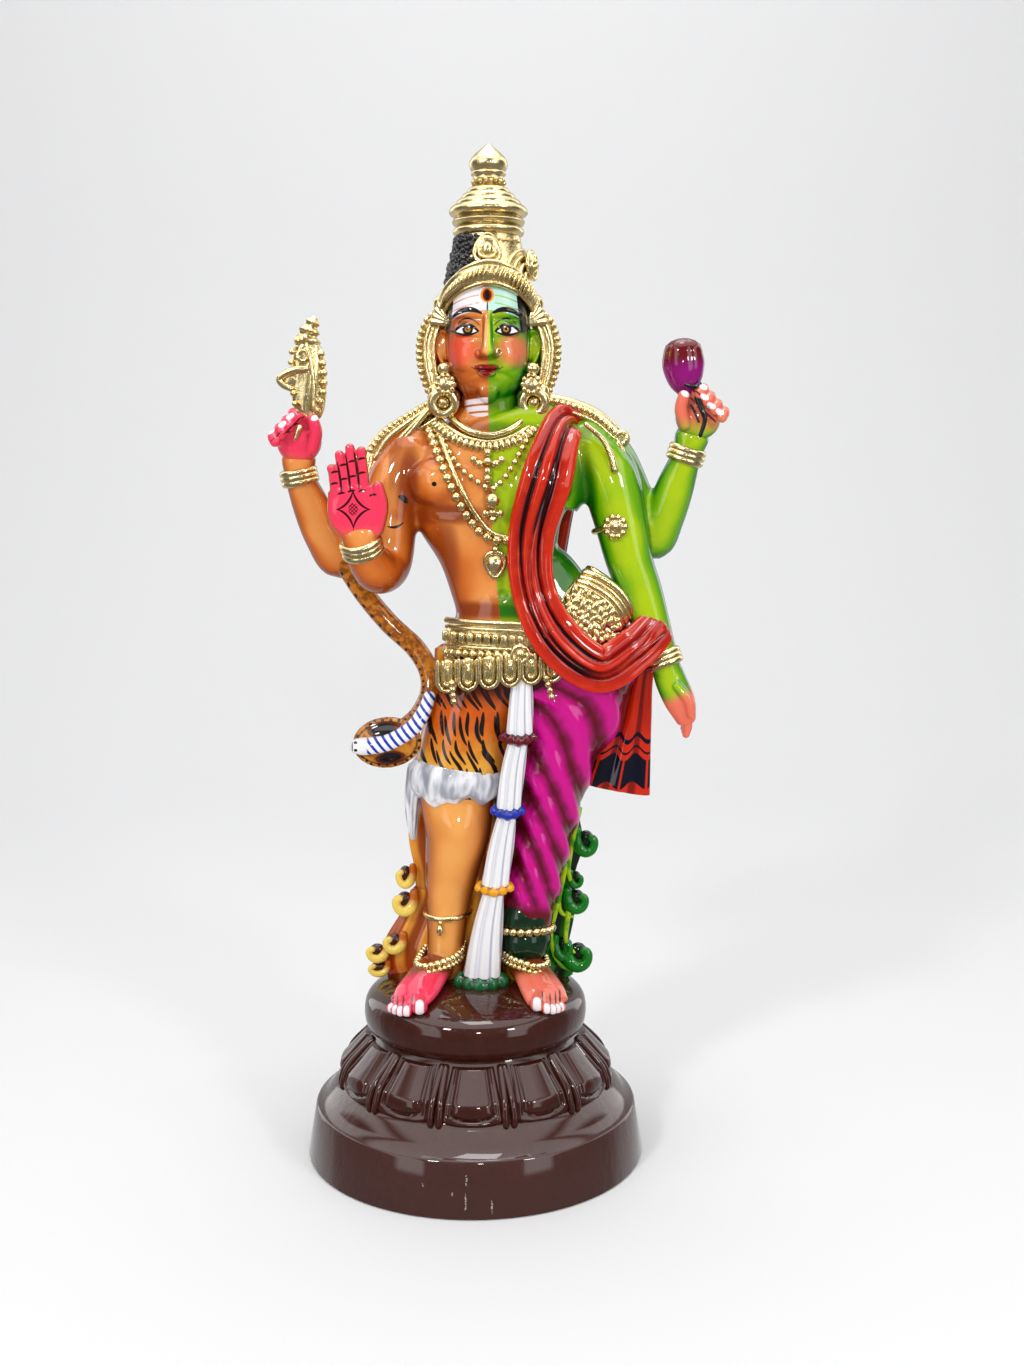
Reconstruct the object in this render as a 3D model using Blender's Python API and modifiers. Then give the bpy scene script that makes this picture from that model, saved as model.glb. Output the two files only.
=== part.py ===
"""Ardhanarishvara, a standing painted doll moulded in one piece with its round lotus base.

The base is a turned form with a ring of lotus petals. The figure is a set of soft lofted forms that are
fused into one skin. Its pose and carving are written in shares of its own height: one unit is a
five-hundredth of it, which is a millimetre on the real doll. Heights in units count from the soles.
+X is the figure's left, -Y its front, +Z up, and the origin is the centre of the flat underside.
"""

import math

import bmesh
import bpy
import numpy as np
from mathutils import Matrix, Vector

# Sizes of the figure, in metres
FIGURE_HEIGHT = 0.500
UNIT = FIGURE_HEIGHT / 500

# Sizes of the base, in metres
PLINTH_RADIUS = 0.1045
PLINTH_TAPER = 0.005
PLINTH_HEIGHT = 0.031
PLINTH_EDGE = 0.002
LEDGE_RISE = 0.0115
LOTUS_RADIUS = 0.086
LOTUS_HEIGHT = 0.0325
NECK_RADIUS = 0.063
DISC_RADIUS = 0.069
DISC_HEIGHT = 0.033
DOME_DROP = 0.009
PETALS = 12
PETAL_RAISE = 0.0034
PETAL_FILL = 0.36
BASE_STEPS = 40

# Where the heights and edges fall, worked out from those
PLINTH_TOP = PLINTH_HEIGHT + PLINTH_EDGE
LOTUS_FOOT = PLINTH_TOP + LEDGE_RISE
LOTUS_TOP = LOTUS_FOOT + LOTUS_HEIGHT
STAND_Z = LOTUS_TOP + DISC_HEIGHT
DOME_RADIUS = 0.94 * DISC_RADIUS

# Fineness of the fused skin
VOXEL_UNITS = 1.7
SKIN_TRIANGLES = 6500
CROWN_STEPS = 18

FRONT = (0.0, 1.0, 0.0)
UPWARD = (0.0, 0.0, 1.0)


def clear_scene():
    """Removes what the scene holds, so that the script starts from nothing."""
    for item in list(bpy.data.objects):
        bpy.data.objects.remove(item)


def new_collection(name):
    """A collection of that name in the scene."""
    group = bpy.data.collections.new(name)
    bpy.context.scene.collection.children.link(group)
    return group


def dome_height(x, y):
    """Height of the disc's domed top over a point, in metres."""
    return STAND_Z - DOME_DROP * (math.hypot(x, y) / DOME_RADIUS) ** 4


def on_dome(x, y, lift):
    """A point of the figure that many units above the dome, as x, y and height in units."""
    return x, y, (dome_height(x * UNIT, y * UNIT) - STAND_Z) / UNIT + lift


def smooth_path(stations, per_span):
    """The stations with smooth ones between them, on one Catmull-Rom curve."""
    known = np.array(stations, float)
    padded = np.vstack([2 * known[0] - known[1], known, 2 * known[-1] - known[-2]])
    found = []
    for a, b, c, d in zip(padded, padded[1:], padded[2:], padded[3:]):
        for step in range(per_span):
            t = step / per_span
            bend = (2 * a - 5 * b + 4 * c - d) * t**2 + (3 * b - a - 3 * c + d) * t**3
            found.append(0.5 * (2 * b + (c - a) * t + bend))
    found.append(known[-1])
    return np.array(found)


def unit_vectors(rows):
    """Each row at length one."""
    return rows / np.maximum(np.linalg.norm(rows, axis=1, keepdims=True), 1e-9)


class Forms:
    """The closed forms that the figure is fused from, gathered in one mesh."""

    def __init__(self):
        self.mesh = bmesh.new()

    def loft(self, stations, sides=16, per_span=4, depth=FRONT, relief=None, end=0.8):
        """A closed form through sections, each given as x, y, z, half width and half depth in units.

        depth is the direction that the half depth is measured in. relief gives the units that a point
        stands out, from its angle round the section and its share of the way along.
        """
        rows = smooth_path(stations, per_span)
        centres = rows[:, :3]
        along = unit_vectors(np.gradient(centres, axis=0))
        hint = np.array(depth)
        deep = unit_vectors(hint - (along @ hint)[:, None] * along)
        wide = np.cross(along, deep)
        angles = np.arange(sides) * 2 * math.pi / sides
        rings = []
        for i, (x, y, z, half_width, half_depth) in enumerate(rows):
            out = np.zeros(sides)
            if relief:
                share = i / (len(rows) - 1)
                out = np.array([relief(a, share) for a in angles])
            across = (max(half_width, 0.2) + out) * np.cos(angles)
            inward = (max(half_depth, 0.2) + out) * np.sin(angles)
            rings.append(centres[i] + np.outer(across, wide[i]) + np.outer(inward, deep[i]))
        self.skin(self.rounded(rings, centres, along, rows[:, 3:5].min(axis=1) * end))

    @staticmethod
    def rounded(rings, centres, along, bulges):
        """The rings with a rounded end added before the first and after the last."""
        lead, tail = [], []
        for turn in (80, 55, 30):
            shrink, reach = math.cos(math.radians(turn)), math.sin(math.radians(turn))
            first = centres[0] + (rings[0] - centres[0]) * shrink - along[0] * bulges[0] * reach
            last = centres[-1] + (rings[-1] - centres[-1]) * shrink + along[-1] * bulges[-1] * reach
            lead.append(first)
            tail.insert(0, last)
        return lead + rings + tail

    def skin(self, rings):
        """Joins rings of points, in units, into one closed form."""
        rows = [[self.mesh.verts.new(p) for p in ring] for ring in rings]
        faces = []
        for low, high in zip(rows, rows[1:]):
            for k in range(len(low)):
                nxt = (k + 1) % len(low)
                faces.append(self.mesh.faces.new((low[k], low[nxt], high[nxt], high[k])))
        faces.append(self.mesh.faces.new(rows[0][::-1]))
        faces.append(self.mesh.faces.new(rows[-1]))
        bmesh.ops.recalc_face_normals(self.mesh, faces=faces)

    def tube(self, points, radius, sides=8, per_span=4, end_radius=None):
        """A round rope or finger through points in units, even or narrowing to end_radius."""
        last = radius if end_radius is None else end_radius
        radii = np.linspace(radius, last, len(points))
        self.loft([(*p, r, r) for p, r in zip(points, radii)], sides, per_span, hint_for(points))

    def ball(self, centre, half_sizes, turn=0.0, sides=12):
        """An egg shape at a point in units, turned by an angle in the picture plane."""
        cos, sin = math.cos(turn), math.sin(turn)
        rings = []
        for up in np.radians((-80, -55, -28, 0, 28, 55, 80)):
            ring = []
            for round_by in np.arange(sides) * 2 * math.pi / sides:
                x = half_sizes[0] * math.cos(up) * math.cos(round_by)
                y = half_sizes[1] * math.cos(up) * math.sin(round_by)
                z = half_sizes[2] * math.sin(up)
                ring.append((centre[0] + x * cos - z * sin, centre[1] + y, centre[2] + x * sin + z * cos))
            rings.append(ring)
        self.skin(rings)

    def ring(self, centre, radius, thickness, axis):
        """A bangle: a round rod bent into a circle about an axis."""
        turn = Vector(axis).to_track_quat("Z", "Y")
        loops = []
        for k in range(20):
            a = k * 2 * math.pi / 20
            loop = []
            for j in range(8):
                b = j * 2 * math.pi / 8
                reach = radius + thickness * math.cos(b)
                spot = Vector((reach * math.cos(a), reach * math.sin(a), thickness * math.sin(b)))
                loop.append(self.mesh.verts.new(Vector(centre) + turn @ spot))
            loops.append(loop)
        faces = []
        for k, loop in enumerate(loops):
            after = loops[(k + 1) % len(loops)]
            for j in range(8):
                nxt = (j + 1) % 8
                faces.append(self.mesh.faces.new((loop[j], loop[nxt], after[nxt], after[j])))
        bmesh.ops.recalc_face_normals(self.mesh, faces=faces)


def hint_for(points):
    """A depth direction that a rope through these points never runs along."""
    run = np.abs(np.array(points[-1], float) - np.array(points[0], float))
    return UPWARD if run[1] > run[2] else FRONT


def folds(count, height):
    """Relief of cloth with that many rounded folds across its width."""
    return lambda angle, share: height * math.cos(math.pi * count * math.cos(angle))


def wrapped_folds(count, height, slant):
    """Relief of cloth drawn round a limb in slanting folds."""
    def relief(angle, share):
        return height * (2 * abs(math.sin(math.pi * count * share + slant * math.sin(angle))) - 1)
    return relief


# The trunk's sections from the throat down, swayed towards the figure's left hip
TRUNK = [
    (9, 2, 353, 18, 14), (9.5, 3, 345, 32, 16), (12, 2, 335, 47, 20), (14, 1, 322, 56, 23),
    (14, 1, 310, 57, 26), (12, 0, 298, 53, 27), (11, 0, 286, 47, 26), (14, 0, 268, 38, 23),
    (18, 0, 252, 35, 22), (26, 0, 236, 42, 24), (34, 0, 210, 52, 26), (32, 0, 185, 48, 26),
]


def on_trunk(x, z, lift):
    """A point that many units in front of the trunk, at a place across and a height."""
    heights = [row[2] for row in TRUNK[::-1]]
    middle, back, half_width, half_depth = (
        np.interp(z, heights, [row[k] for row in TRUNK[::-1]]) for k in (0, 1, 3, 4))
    inside = max(0.0, 1 - ((x - middle) / half_width) ** 2)
    return x, back - half_depth * math.sqrt(inside) - lift, z


def torso(forms):
    """Chest, waist and belly."""
    forms.loft(TRUNK, sides=24)
    forms.ball((-17, -13, 304), (22, 14, 16))
    forms.ball((38, -14, 302), (20, 16, 17))


def head(forms):
    """Neck, head, face and ears."""
    forms.loft([(9, 2, 330, 19, 16), (9.5, 1, 345, 18, 15), (9, 1, 362, 17, 15)])
    forms.loft([
        (9, -17, 357, 8, 9), (9, -14, 361, 15, 15), (8.8, -9, 369, 20, 21), (8.7, -6, 378, 23, 25),
        (8.6, -4, 389, 24.5, 28), (8.6, -3, 401, 24.5, 28), (8.8, -1, 414, 24, 27), (9, 0, 424, 22, 24),
    ], sides=24)
    forms.loft([(8.8, -30, 396, 2.6, 3), (8.9, -33, 387, 3, 4), (9, -35, 379, 5.4, 5)], sides=10)
    forms.ball((8.8, -29.5, 367), (7.5, 4, 3.4))
    forms.ball((9, -25, 359), (8, 5, 4))
    for side in (-1, 1):
        forms.ball((8.8 + side * 10.5, -27, 398), (9, 4, 2.2), turn=-side * 0.12)
        forms.ball((8.7 + side * 27, -1, 382), (3.5, 6, 10), turn=side * 0.15)
        forms.ball((9 + side * 30, -12, 350.5), (5.3, 4, 5.3))


def hair(forms):
    """Gold-edged hair frames round the ears, ties above them, and the locks down the back."""
    for side in (-1, 1):
        mid = 9 + side * 1.5
        frame = [(30, 404), (37.5, 395), (41.5, 382), (40, 368), (34.5, 356), (27, 349)]
        forms.tube([(mid + side * x, -3, z) for x, z in frame], 5.4)
        forms.tube([(mid + side * (x - 6), 7, z) for x, z in frame], 6.5)
        forms.ball((9 + side * 31, -4, 404), (6, 5, 3.6), turn=side * 0.5)
        forms.tube([(9 + side * 12, 22, 415), (9 + side * 16, 26, 380), (9 + side * 18, 24, 345),
                    (10 + side * 20, 25, 315), (11 + side * 16, 24, 290)], 9, end_radius=4)
    forms.tube([(9, 24, 415), (9, 30, 380), (9, 29, 345), (10, 29, 315), (12, 28, 280)], 11, end_radius=5)


def crown_profile():
    """Radius and height of the tall crown in units, from its tip down."""
    tip = [(0.0, 500.0), (2.2, 498.2), (5.6, 495.0), (7.2, 493.0)]
    bulb = [(10.6, 490.6), (11.2, 487.6), (9.8, 484.6), (7.2, 483.0)]
    neck = [(7.0, 480.6), (9.4, 478.8), (9.4, 476.4), (13.0, 475.4), (14.2, 472.8)]
    cone = [(16.0, 469.8), (20.4, 465.4), (22.9, 461.8), (22.6, 459.4), (18.8, 457.4)]
    rings = [(20.6, 454.8), (18.6, 452.4), (19.8, 449.6), (18.8, 446.6)]
    body = [(21.8, 437.0), (24.0, 428.0), (26.0, 420.0)]
    return tip + bulb + neck + cone + rings + body + [(25.0, 411.0), (0.0, 411.0)]


def forehead_band(forms):
    """The arched band above the brow, and the crest and rosette of the crown."""
    arch = [(-18, -11, 405), (-9, -23, 413), (9, -29, 417.5), (27, -23, 412), (36, -11, 403)]
    forms.loft([(*p, 6.2, 3.6) for p in arch], sides=10, depth=FRONT)
    back = [(36, -9, 405), (33, 10, 411), (9, 25, 414), (-15, 10, 411), (-18, -9, 405)]
    forms.tube(back, 5.4)
    forms.ball((8.6, -26, 434), (8, 4, 9.5))
    forms.ball((36, -4, 425), (5, 8, 11))


def legs(forms):
    """The bare right leg, with its thigh under the tiger skin."""
    forms.loft([
        (3, 0, 190, 27, 25), (0, 0, 172, 24, 23), (-7, 0, 146, 24, 22), (-11, 0, 116, 23.3, 21),
        (-10.5, -3, 93, 20.3, 19), (-13.5, 1, 72, 17.5, 18), (-16, 3, 54, 15, 15.5),
        (-17.6, 3, 33, 12.6, 12.6), (-18.6, 2, 17, 11.6, 13), (-19, 1, 4, 12.5, 15),
    ], sides=18)
    forms.ring((-16.6, 3, 44), 13.8, 2.4, (-0.05, -0.1, 1))


def foot(forms, heel, ball, toes):
    """A foot on the dome: heel and ball are places, toes are tips with their half widths."""
    middle = [(h + b) / 2 for h, b in zip(heel, ball)]
    forms.loft([
        (*on_dome(*heel, 6), 11, 8), (*on_dome(*middle, 6.5), 12.5, 8.5), (*on_dome(*ball, 3), 14, 6),
    ], depth=UPWARD)
    for x, y, half in toes:
        root = [ball[0] + (x - ball[0]) * 0.55, ball[1] + (y - ball[1]) * 0.1]
        forms.tube([on_dome(*root, 3), on_dome(x, y + 3, half), on_dome(x, y, half - 0.6)], half)


def feet(forms):
    """Both feet, turned a little outwards."""
    foot(forms, (-19, 6), (-34, -37), [
        (-31.5, -54, 4.8), (-39.5, -53, 3.6), (-43.6, -51, 3.3), (-46.8, -48, 3.1), (-49.6, -44.5, 2.9),
    ])
    foot(forms, (28, 6), (42, -33), [
        (37.5, -49, 4.6), (43.5, -49, 3.5), (47.3, -47.5, 3.2), (50.2, -45, 3), (52.6, -42, 2.8),
    ])


def arm(forms, stations, bangle, bangle_radius, bangle_axis):
    """An arm with the bangle at its wrist."""
    forms.loft(stations, sides=14)
    for shift in (-2.2, 2.2):
        spot = [c + shift * a for c, a in zip(bangle, bangle_axis)]
        forms.ring(spot, bangle_radius, 2.3, bangle_axis)


def raised_arms(forms):
    """The two back arms, lifted at the sides, with their closed hands."""
    arm(forms, [
        (-32, 7, 327, 17, 15), (-49, 11, 317, 17, 15), (-66, 16, 292, 14.5, 14), (-81, 15, 259, 13, 13),
        (-91, 9, 272, 12.4, 12), (-99, 4, 292, 11, 10.5), (-104, 0, 307, 9, 9), (-104.5, -2, 318, 10.5, 8),
    ], (-104.4, 0, 307.5), 9.4, (-0.2, -0.1, 0.97))
    arm(forms, [
        (64, 7, 329, 17, 15), (81, 10, 317, 16.5, 15), (96, 13, 292, 14, 14), (108, 12, 270, 13, 13),
        (115, 7, 284, 12.4, 12), (121, 3, 302, 11.4, 10.5), (127, 0, 320, 9, 9), (130, -2, 331, 10.5, 8),
    ], (126.8, 0, 320.5), 9.4, (0.3, -0.1, 0.95))
    closed_hand(forms, (-103.5, -5, 328), -1)
    closed_hand(forms, (133, -5, 342), 1)


def closed_hand(forms, palm, side):
    """A hand folded round the stem that it holds; side is -1 for the figure's right."""
    forms.ball(palm, (14, 8, 13), turn=-side * 0.35)
    for k in range(4):
        out, up = side * (2 + 4.6 * k), 17 - 4.6 * k
        root = (palm[0] - side * 9 + out * 0.9, palm[1] - 1, palm[2] + up * 0.9 - 6)
        knuckle = (palm[0] + out * 0.9, palm[1] - 9, palm[2] + up * 0.95)
        tip = (palm[0] + out - side * 3, palm[1] - 13.5, palm[2] + up - 4.5)
        forms.tube([root, knuckle, tip], 3.9, end_radius=3.3)
    thumb = [(-8, -4, -4), (-11, -8, 6), (-9, -11, 14)]
    forms.tube([(palm[0] + side * x, palm[1] + y, palm[2] + z) for x, y, z in thumb], 4.4, end_radius=3.6)


def blessing_arm(forms):
    """The front right arm, bent up, with its open palm to the front."""
    arm(forms, [
        (-36, 3, 320, 17, 16), (-47, 1, 304, 17, 17), (-50, -2, 280, 16, 16), (-52, -7, 257, 15, 15),
        (-56, -19, 252, 13.5, 14), (-61, -29, 259, 12, 12), (-64, -36, 268, 10.5, 9.5),
        (-65, -38, 276, 12, 8),
    ], (-64, -35.5, 267), 10.6, (-0.2, -0.4, 0.9))
    forms.loft([(-64.5, -38, 270, 11, 6), (-66.5, -40, 284, 16.8, 7), (-67.5, -40.5, 299, 16.4, 5.4)])
    tips = [(-80.3, 314.8), (-75.6, 322.6), (-69.6, 326.5), (-63, 324.9)]
    for k, (x, z) in enumerate(tips):
        root = -79 + k * 6.3
        forms.tube([(root, -41, 296), ((root + x) / 2, -43, 309), (x, -45, z - 3)], 3.5, end_radius=2.9)
    forms.tube([(-56, -39, 279), (-51.5, -42, 292), (-53, -44, 302)], 5.0, end_radius=3.8)


def hanging_arm(forms):
    """The front left arm, hanging at the side, and its narrow hand."""
    arm(forms, [
        (68, 4, 322, 17, 16), (80, 1, 308, 17.5, 17), (87, -2, 284, 16, 16), (93, -5, 258, 14.2, 14),
        (100, -7, 239, 13, 13), (107, -9, 217, 11.4, 11.4), (114.6, -11, 196, 9, 9), (119, -12, 184, 9, 7.5),
        (125, -12, 171, 8.6, 6.5), (128.6, -12, 161, 6, 5.4), (127.4, -12, 154, 3.6, 4),
    ], (113.4, -11, 199), 9.6, (-0.35, 0.1, 0.93))
    forms.tube([(122, -18, 184), (130, -20, 174), (130.6, -20, 164)], 3.8, end_radius=3)
    forms.ball((83.5, -17, 278), (8, 4, 8))
    forms.ring((86, -2, 279), 15.6, 2.2, (-0.3, 0.1, 0.95))


def held_things(forms):
    """The flame staff's head in the back right hand and the lotus bud in the back left one."""
    forms.tube([(-94, -5, 340), (-94.5, -5, 352), (-95.5, -5, 366)], 6.5, end_radius=8)
    forms.loft([
        (-95.5, -5, 352, 8, 5), (-96.5, -5, 366, 11.5, 6), (-95.5, -5, 380, 9.6, 6),
        (-93.5, -5, 391, 6.6, 5), (-92, -5, 398, 3.4, 3.4),
    ], relief=lambda angle, share: 0.8 * math.cos(26 * share))
    forms.tube([(-100, -6, 362), (-107, -7, 364), (-111.5, -7, 370)], 3.6, end_radius=1.8)
    forms.tube([(129, -6, 350), (127, -6, 359), (125, -6, 366)], 4.6)
    forms.loft([
        (127, -6, 359, 6, 6), (125, -6, 366, 10.5, 9), (124, -6, 374, 11.8, 10), (123.6, -6, 383, 9.4, 8),
    ], relief=lambda angle, share: 0.9 * math.cos(5 * angle))


def jewellery(forms):
    """Collar, necklace, long garland with its pendant, and the ribbons over the shoulders."""
    collar = [(-22, 345), (-13, 338), (-3, 332), (9.5, 330), (22, 333), (33, 339), (41, 346)]
    necklace = [(-22, 338), (-13, 324), (-4, 311), (11, 301), (20, 308), (27, 320), (37, 337)]
    garland = [(-27, 341), (-19, 312), (-10, 295), (-2, 282), (6, 273), (16, 270)]
    for strand, radius in ((collar, 3.8), (necklace, 2.8), (garland, 3.6)):
        forms.tube([on_trunk(x, z, 1.2) for x, z in strand], radius)
    forms.ball(on_trunk(11.4, 290, 2), (4.8, 4, 7))
    forms.ball(on_trunk(12.9, 257, 2), (6.4, 4, 8))
    for over in ([(-22, 0, 346), (-44, 3, 335), (-60, 5, 321), (-62, 0, 308)],
                 [(42, 0, 349), (66, 3, 344), (84, 4, 331), (90, 2, 314), (94, 2, 301)]):
        forms.loft([(*p, 5.4, 4.4) for p in over], sides=10)


def belt(forms):
    """The broad belt, tilted down to the figure's right, with its hanging plates."""
    forms.loft([(36, 0, 238, 51, 27), (37, -0.5, 225, 55, 28.5), (38.4, -0.5, 210, 59, 29)], sides=28,
               relief=lambda angle, share: 1.0 * math.cos(6 * math.pi * share), end=0.1)
    for k in range(7):
        x = -17 + 10.4 * k
        bulge = 5.5 * math.sin(math.pi * (k + 1) / 9)
        forms.ball((x, -24.5 - bulge, 192 + 0.2 * (x + 17)), (5, 5, 10))


def tiger_skin(forms):
    """The tiger skin round the right thigh, with its thick fur hem and the tail end at the side."""
    def hem(angle, share):
        return (1.6 * math.cos(5 * angle) + 1.2) * max(0.0, share - 0.75) * 4
    forms.loft([(0, 0, 195, 30, 27), (-4, 0, 170, 28, 26), (-8, 0, 145, 28, 26), (-10.5, 0, 124, 29, 27)],
               sides=22, relief=hem, end=0.15)
    forms.tube([(-36, 2, 140), (-38, 3, 118), (-38, 4, 102)], 4.5, end_radius=3)


def sari(forms):
    """The sari drawn round the left leg in slanting folds, down to its banded hem."""
    forms.loft([
        (50, 2, 214, 44, 29), (55, 2, 190, 43, 30), (56, 2, 168, 35, 28), (50, 1, 140, 25, 25),
        (46, 0, 112, 20, 22), (41, 0, 84, 17.6, 19.5), (34.5, 0, 56, 16.6, 18), (30.5, 0, 30, 16, 17),
        (29.5, 0, 22, 16.5, 17.5),
    ], sides=24, per_span=6, relief=wrapped_folds(7, 2.4, 1.3))
    forms.ring((30, 0, 28), 16, 3, (-0.1, 0, 1))
    forms.loft([(29.5, 0, 24, 11.5, 12.5), (28.5, 0, 10, 11.5, 13), (28, 1, 2, 11.5, 14)])


def centre_sash(forms):
    """The white pleated cloth that hangs between the legs, gathered by three bands."""
    forms.loft([(27, -25, 196, 7, 5), (26.5, -26, 174, 9.5, 5.5), (26, -26, 158, 10.5, 6)],
               relief=folds(2, 0.8))
    forms.loft([(26, -26, 158, 7.5, 5), (22, -25, 136, 9, 6), (19, -24, 113, 10, 6.5)], relief=folds(2, 0.8))
    forms.loft([(19, -24, 113, 7, 5), (15, -22, 88, 10, 6), (10.5, -20, 64, 11.5, 7)], relief=folds(2, 0.8))
    forms.loft([(10.5, -20, 64, 8, 6), (6.5, -18, 34, 12, 8), (2.4, -17, 1, 15, 10)], relief=folds(2, 1))
    for (x, y, z, half) in ((26, -26, 157, 11), (19, -24, 112, 10), (10.5, -20, 64, 11.4)):
        forms.loft([(x - half, y, z, 3.6, 6.5), (x, y - 1, z - 1.5, 4, 7), (x + half, y, z, 3.6, 6.5)], sides=10)
    forms.loft([(-11, -17, 3, 5, 8), (2.4, -20, -1, 5.5, 10), (16, -17, 3, 5, 8)], sides=10)


def shoulder_sash(forms):
    """The sash from the left shoulder across the hips, over the left forearm, and its hanging end."""
    forms.loft([
        (59, 12, 342, 11, 6), (56, -4, 345, 12, 6), (52, -20, 335, 13, 6), (43.6, -30, 306, 15, 6),
        (34.5, -27, 272, 13.5, 6), (36, -28, 240, 13, 6), (50, -32, 212, 14.5, 7), (74, -31, 195, 14, 7),
        (95, -24, 206, 13, 7), (108, -14, 217, 12, 8),
    ], sides=32, per_span=6, relief=folds(3, 1.9))
    forms.loft([(59, 10, 343, 11, 6), (57, 24, 322, 13, 6), (48, 27, 290, 15, 6), (40, 27, 255, 17, 6),
                (34, 28, 225, 18, 6)], sides=24, relief=folds(3, 1.6))
    forms.loft([(107, -4, 219, 9, 8), (101, 6, 190, 8.5, 6), (96, 7, 160, 12.5, 5), (87, 6, 116, 20, 4.5)],
               sides=24, relief=folds(3, 1.6))


def snake(forms):
    """The cobra from the back right elbow to the hip, and its spread hood in front of the thigh."""
    body = [(-80, 8, 257), (-67, 6, 237), (-52, 5, 219), (-36, 3, 204), (-27.5, -2, 190), (-27, -7, 177),
            (-33, -13, 165), (-42, -18, 157)]
    forms.tube(body, 6.2, sides=10)
    forms.ball((-52, -19, 149.5), (21, 5, 15.5), turn=0.1)
    forms.tube([(-29, -17, 172), (-38, -23, 157), (-52, -25, 150), (-68, -27, 149)], 5.0, end_radius=4.6)


def back_drape(forms):
    """The cloth that falls behind both legs to the base, with curled ends at its two edges."""
    forms.loft([
        (20, 14, 200, 46, 9), (18, 19, 160, 46, 7), (15, 20, 110, 49, 7), (9, 20, 70, 50, 7),
        (5, 19, 36, 56, 7), (2, 17, 10, 60, 8), (2, 16, -10, 55, 8),
    ], sides=36, relief=folds(7, 1.2))
    curls = [(-46, 68, 5.5), (-47, 47, 6.5), (-55, 21, 6), (-60, 5, 6.5)]
    curls += [(67, 81, 6), (62, 54, 8), (64, 9, 9)]
    for x, z, size in curls:
        side = 1 if x > 0 else -1
        turns = np.radians((75, 20, -35, -90, -145, -200))
        spots = [(x - side * size * math.cos(t), 15, z + size * math.sin(t)) for t in turns]
        forms.tube(spots, 4.6, end_radius=3.6)


def figure_skin(workshop):
    """All the figure's forms fused into one closed skin of few triangles."""
    forms = Forms()
    for make in (torso, head, hair, forehead_band, legs, feet, raised_arms, blessing_arm, hanging_arm,
                 held_things, jewellery, belt, tiger_skin, sari, centre_sash, shoulder_sash, snake, back_drape):
        make(forms)
    mesh = bpy.data.meshes.new("figure_forms")
    forms.mesh.to_mesh(mesh)
    forms.mesh.free()
    skin = bpy.data.objects.new("figure_forms", mesh)
    workshop.objects.link(skin)
    fuse = skin.modifiers.new("fuse", "REMESH")
    fuse.mode = "VOXEL"
    fuse.voxel_size = VOXEL_UNITS
    soften = skin.modifiers.new("soften", "SMOOTH")
    soften.factor = 0.5
    soften.iterations = 2
    fused = frozen(skin)
    keep_outer_skin(fused)
    thin = skin_triangles(fused)
    skin.modifiers.clear()
    skin.data = fused
    cut_down = skin.modifiers.new("cut_down", "DECIMATE")
    cut_down.ratio = min(1.0, SKIN_TRIANGLES / thin)
    skin.data = frozen(skin)
    skin.modifiers.clear()
    skin.data.transform(Matrix.Translation((0, 0, STAND_Z)) @ Matrix.Scale(UNIT, 4))
    return skin


def frozen(item):
    """The mesh of an object with its modifiers worked in."""
    bpy.context.view_layer.update()
    seen = item.evaluated_get(bpy.context.evaluated_depsgraph_get())
    return bpy.data.meshes.new_from_object(seen)


def skin_triangles(mesh):
    """How many triangles a mesh has."""
    return sum(len(face.vertices) - 2 for face in mesh.polygons)


def keep_outer_skin(mesh):
    """Deletes the closed pockets that are left inside where forms overlap, so one skin stays."""
    work = bmesh.new()
    work.from_mesh(mesh)
    work.verts.ensure_lookup_table()
    unseen = set(work.verts)
    shells = []
    while unseen:
        front = [unseen.pop()]
        shell = list(front)
        while front:
            vert = front.pop()
            for edge in vert.link_edges:
                other = edge.other_vert(vert)
                if other in unseen:
                    unseen.remove(other)
                    front.append(other)
                    shell.append(other)
        shells.append(shell)
    shells.sort(key=len)
    for shell in shells[:-1]:
        bmesh.ops.delete(work, geom=shell, context="VERTS")
    work.to_mesh(mesh)
    work.free()


def turned(name, profile, steps, group):
    """A closed turned form: a profile of radius and height, top to bottom, spun about the upright axis."""
    mesh = bpy.data.meshes.new(name)
    edges = [(k, k + 1) for k in range(len(profile) - 1)]
    mesh.from_pydata([(r, 0, z) for r, z in profile], edges, [])
    item = bpy.data.objects.new(name, mesh)
    group.objects.link(item)
    spin = item.modifiers.new("spin", "SCREW")
    spin.steps = steps
    spin.render_steps = steps
    spin.use_merge_vertices = True
    spin.merge_threshold = 0.00001
    return item


def crown(workshop):
    """The tall turned crown, over the middle of the head."""
    profile = [(r * UNIT, z * UNIT) for r, z in crown_profile()]
    item = turned("crown", profile, CROWN_STEPS, workshop)
    item.location = (9 * UNIT, 0, STAND_Z)
    return item


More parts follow.
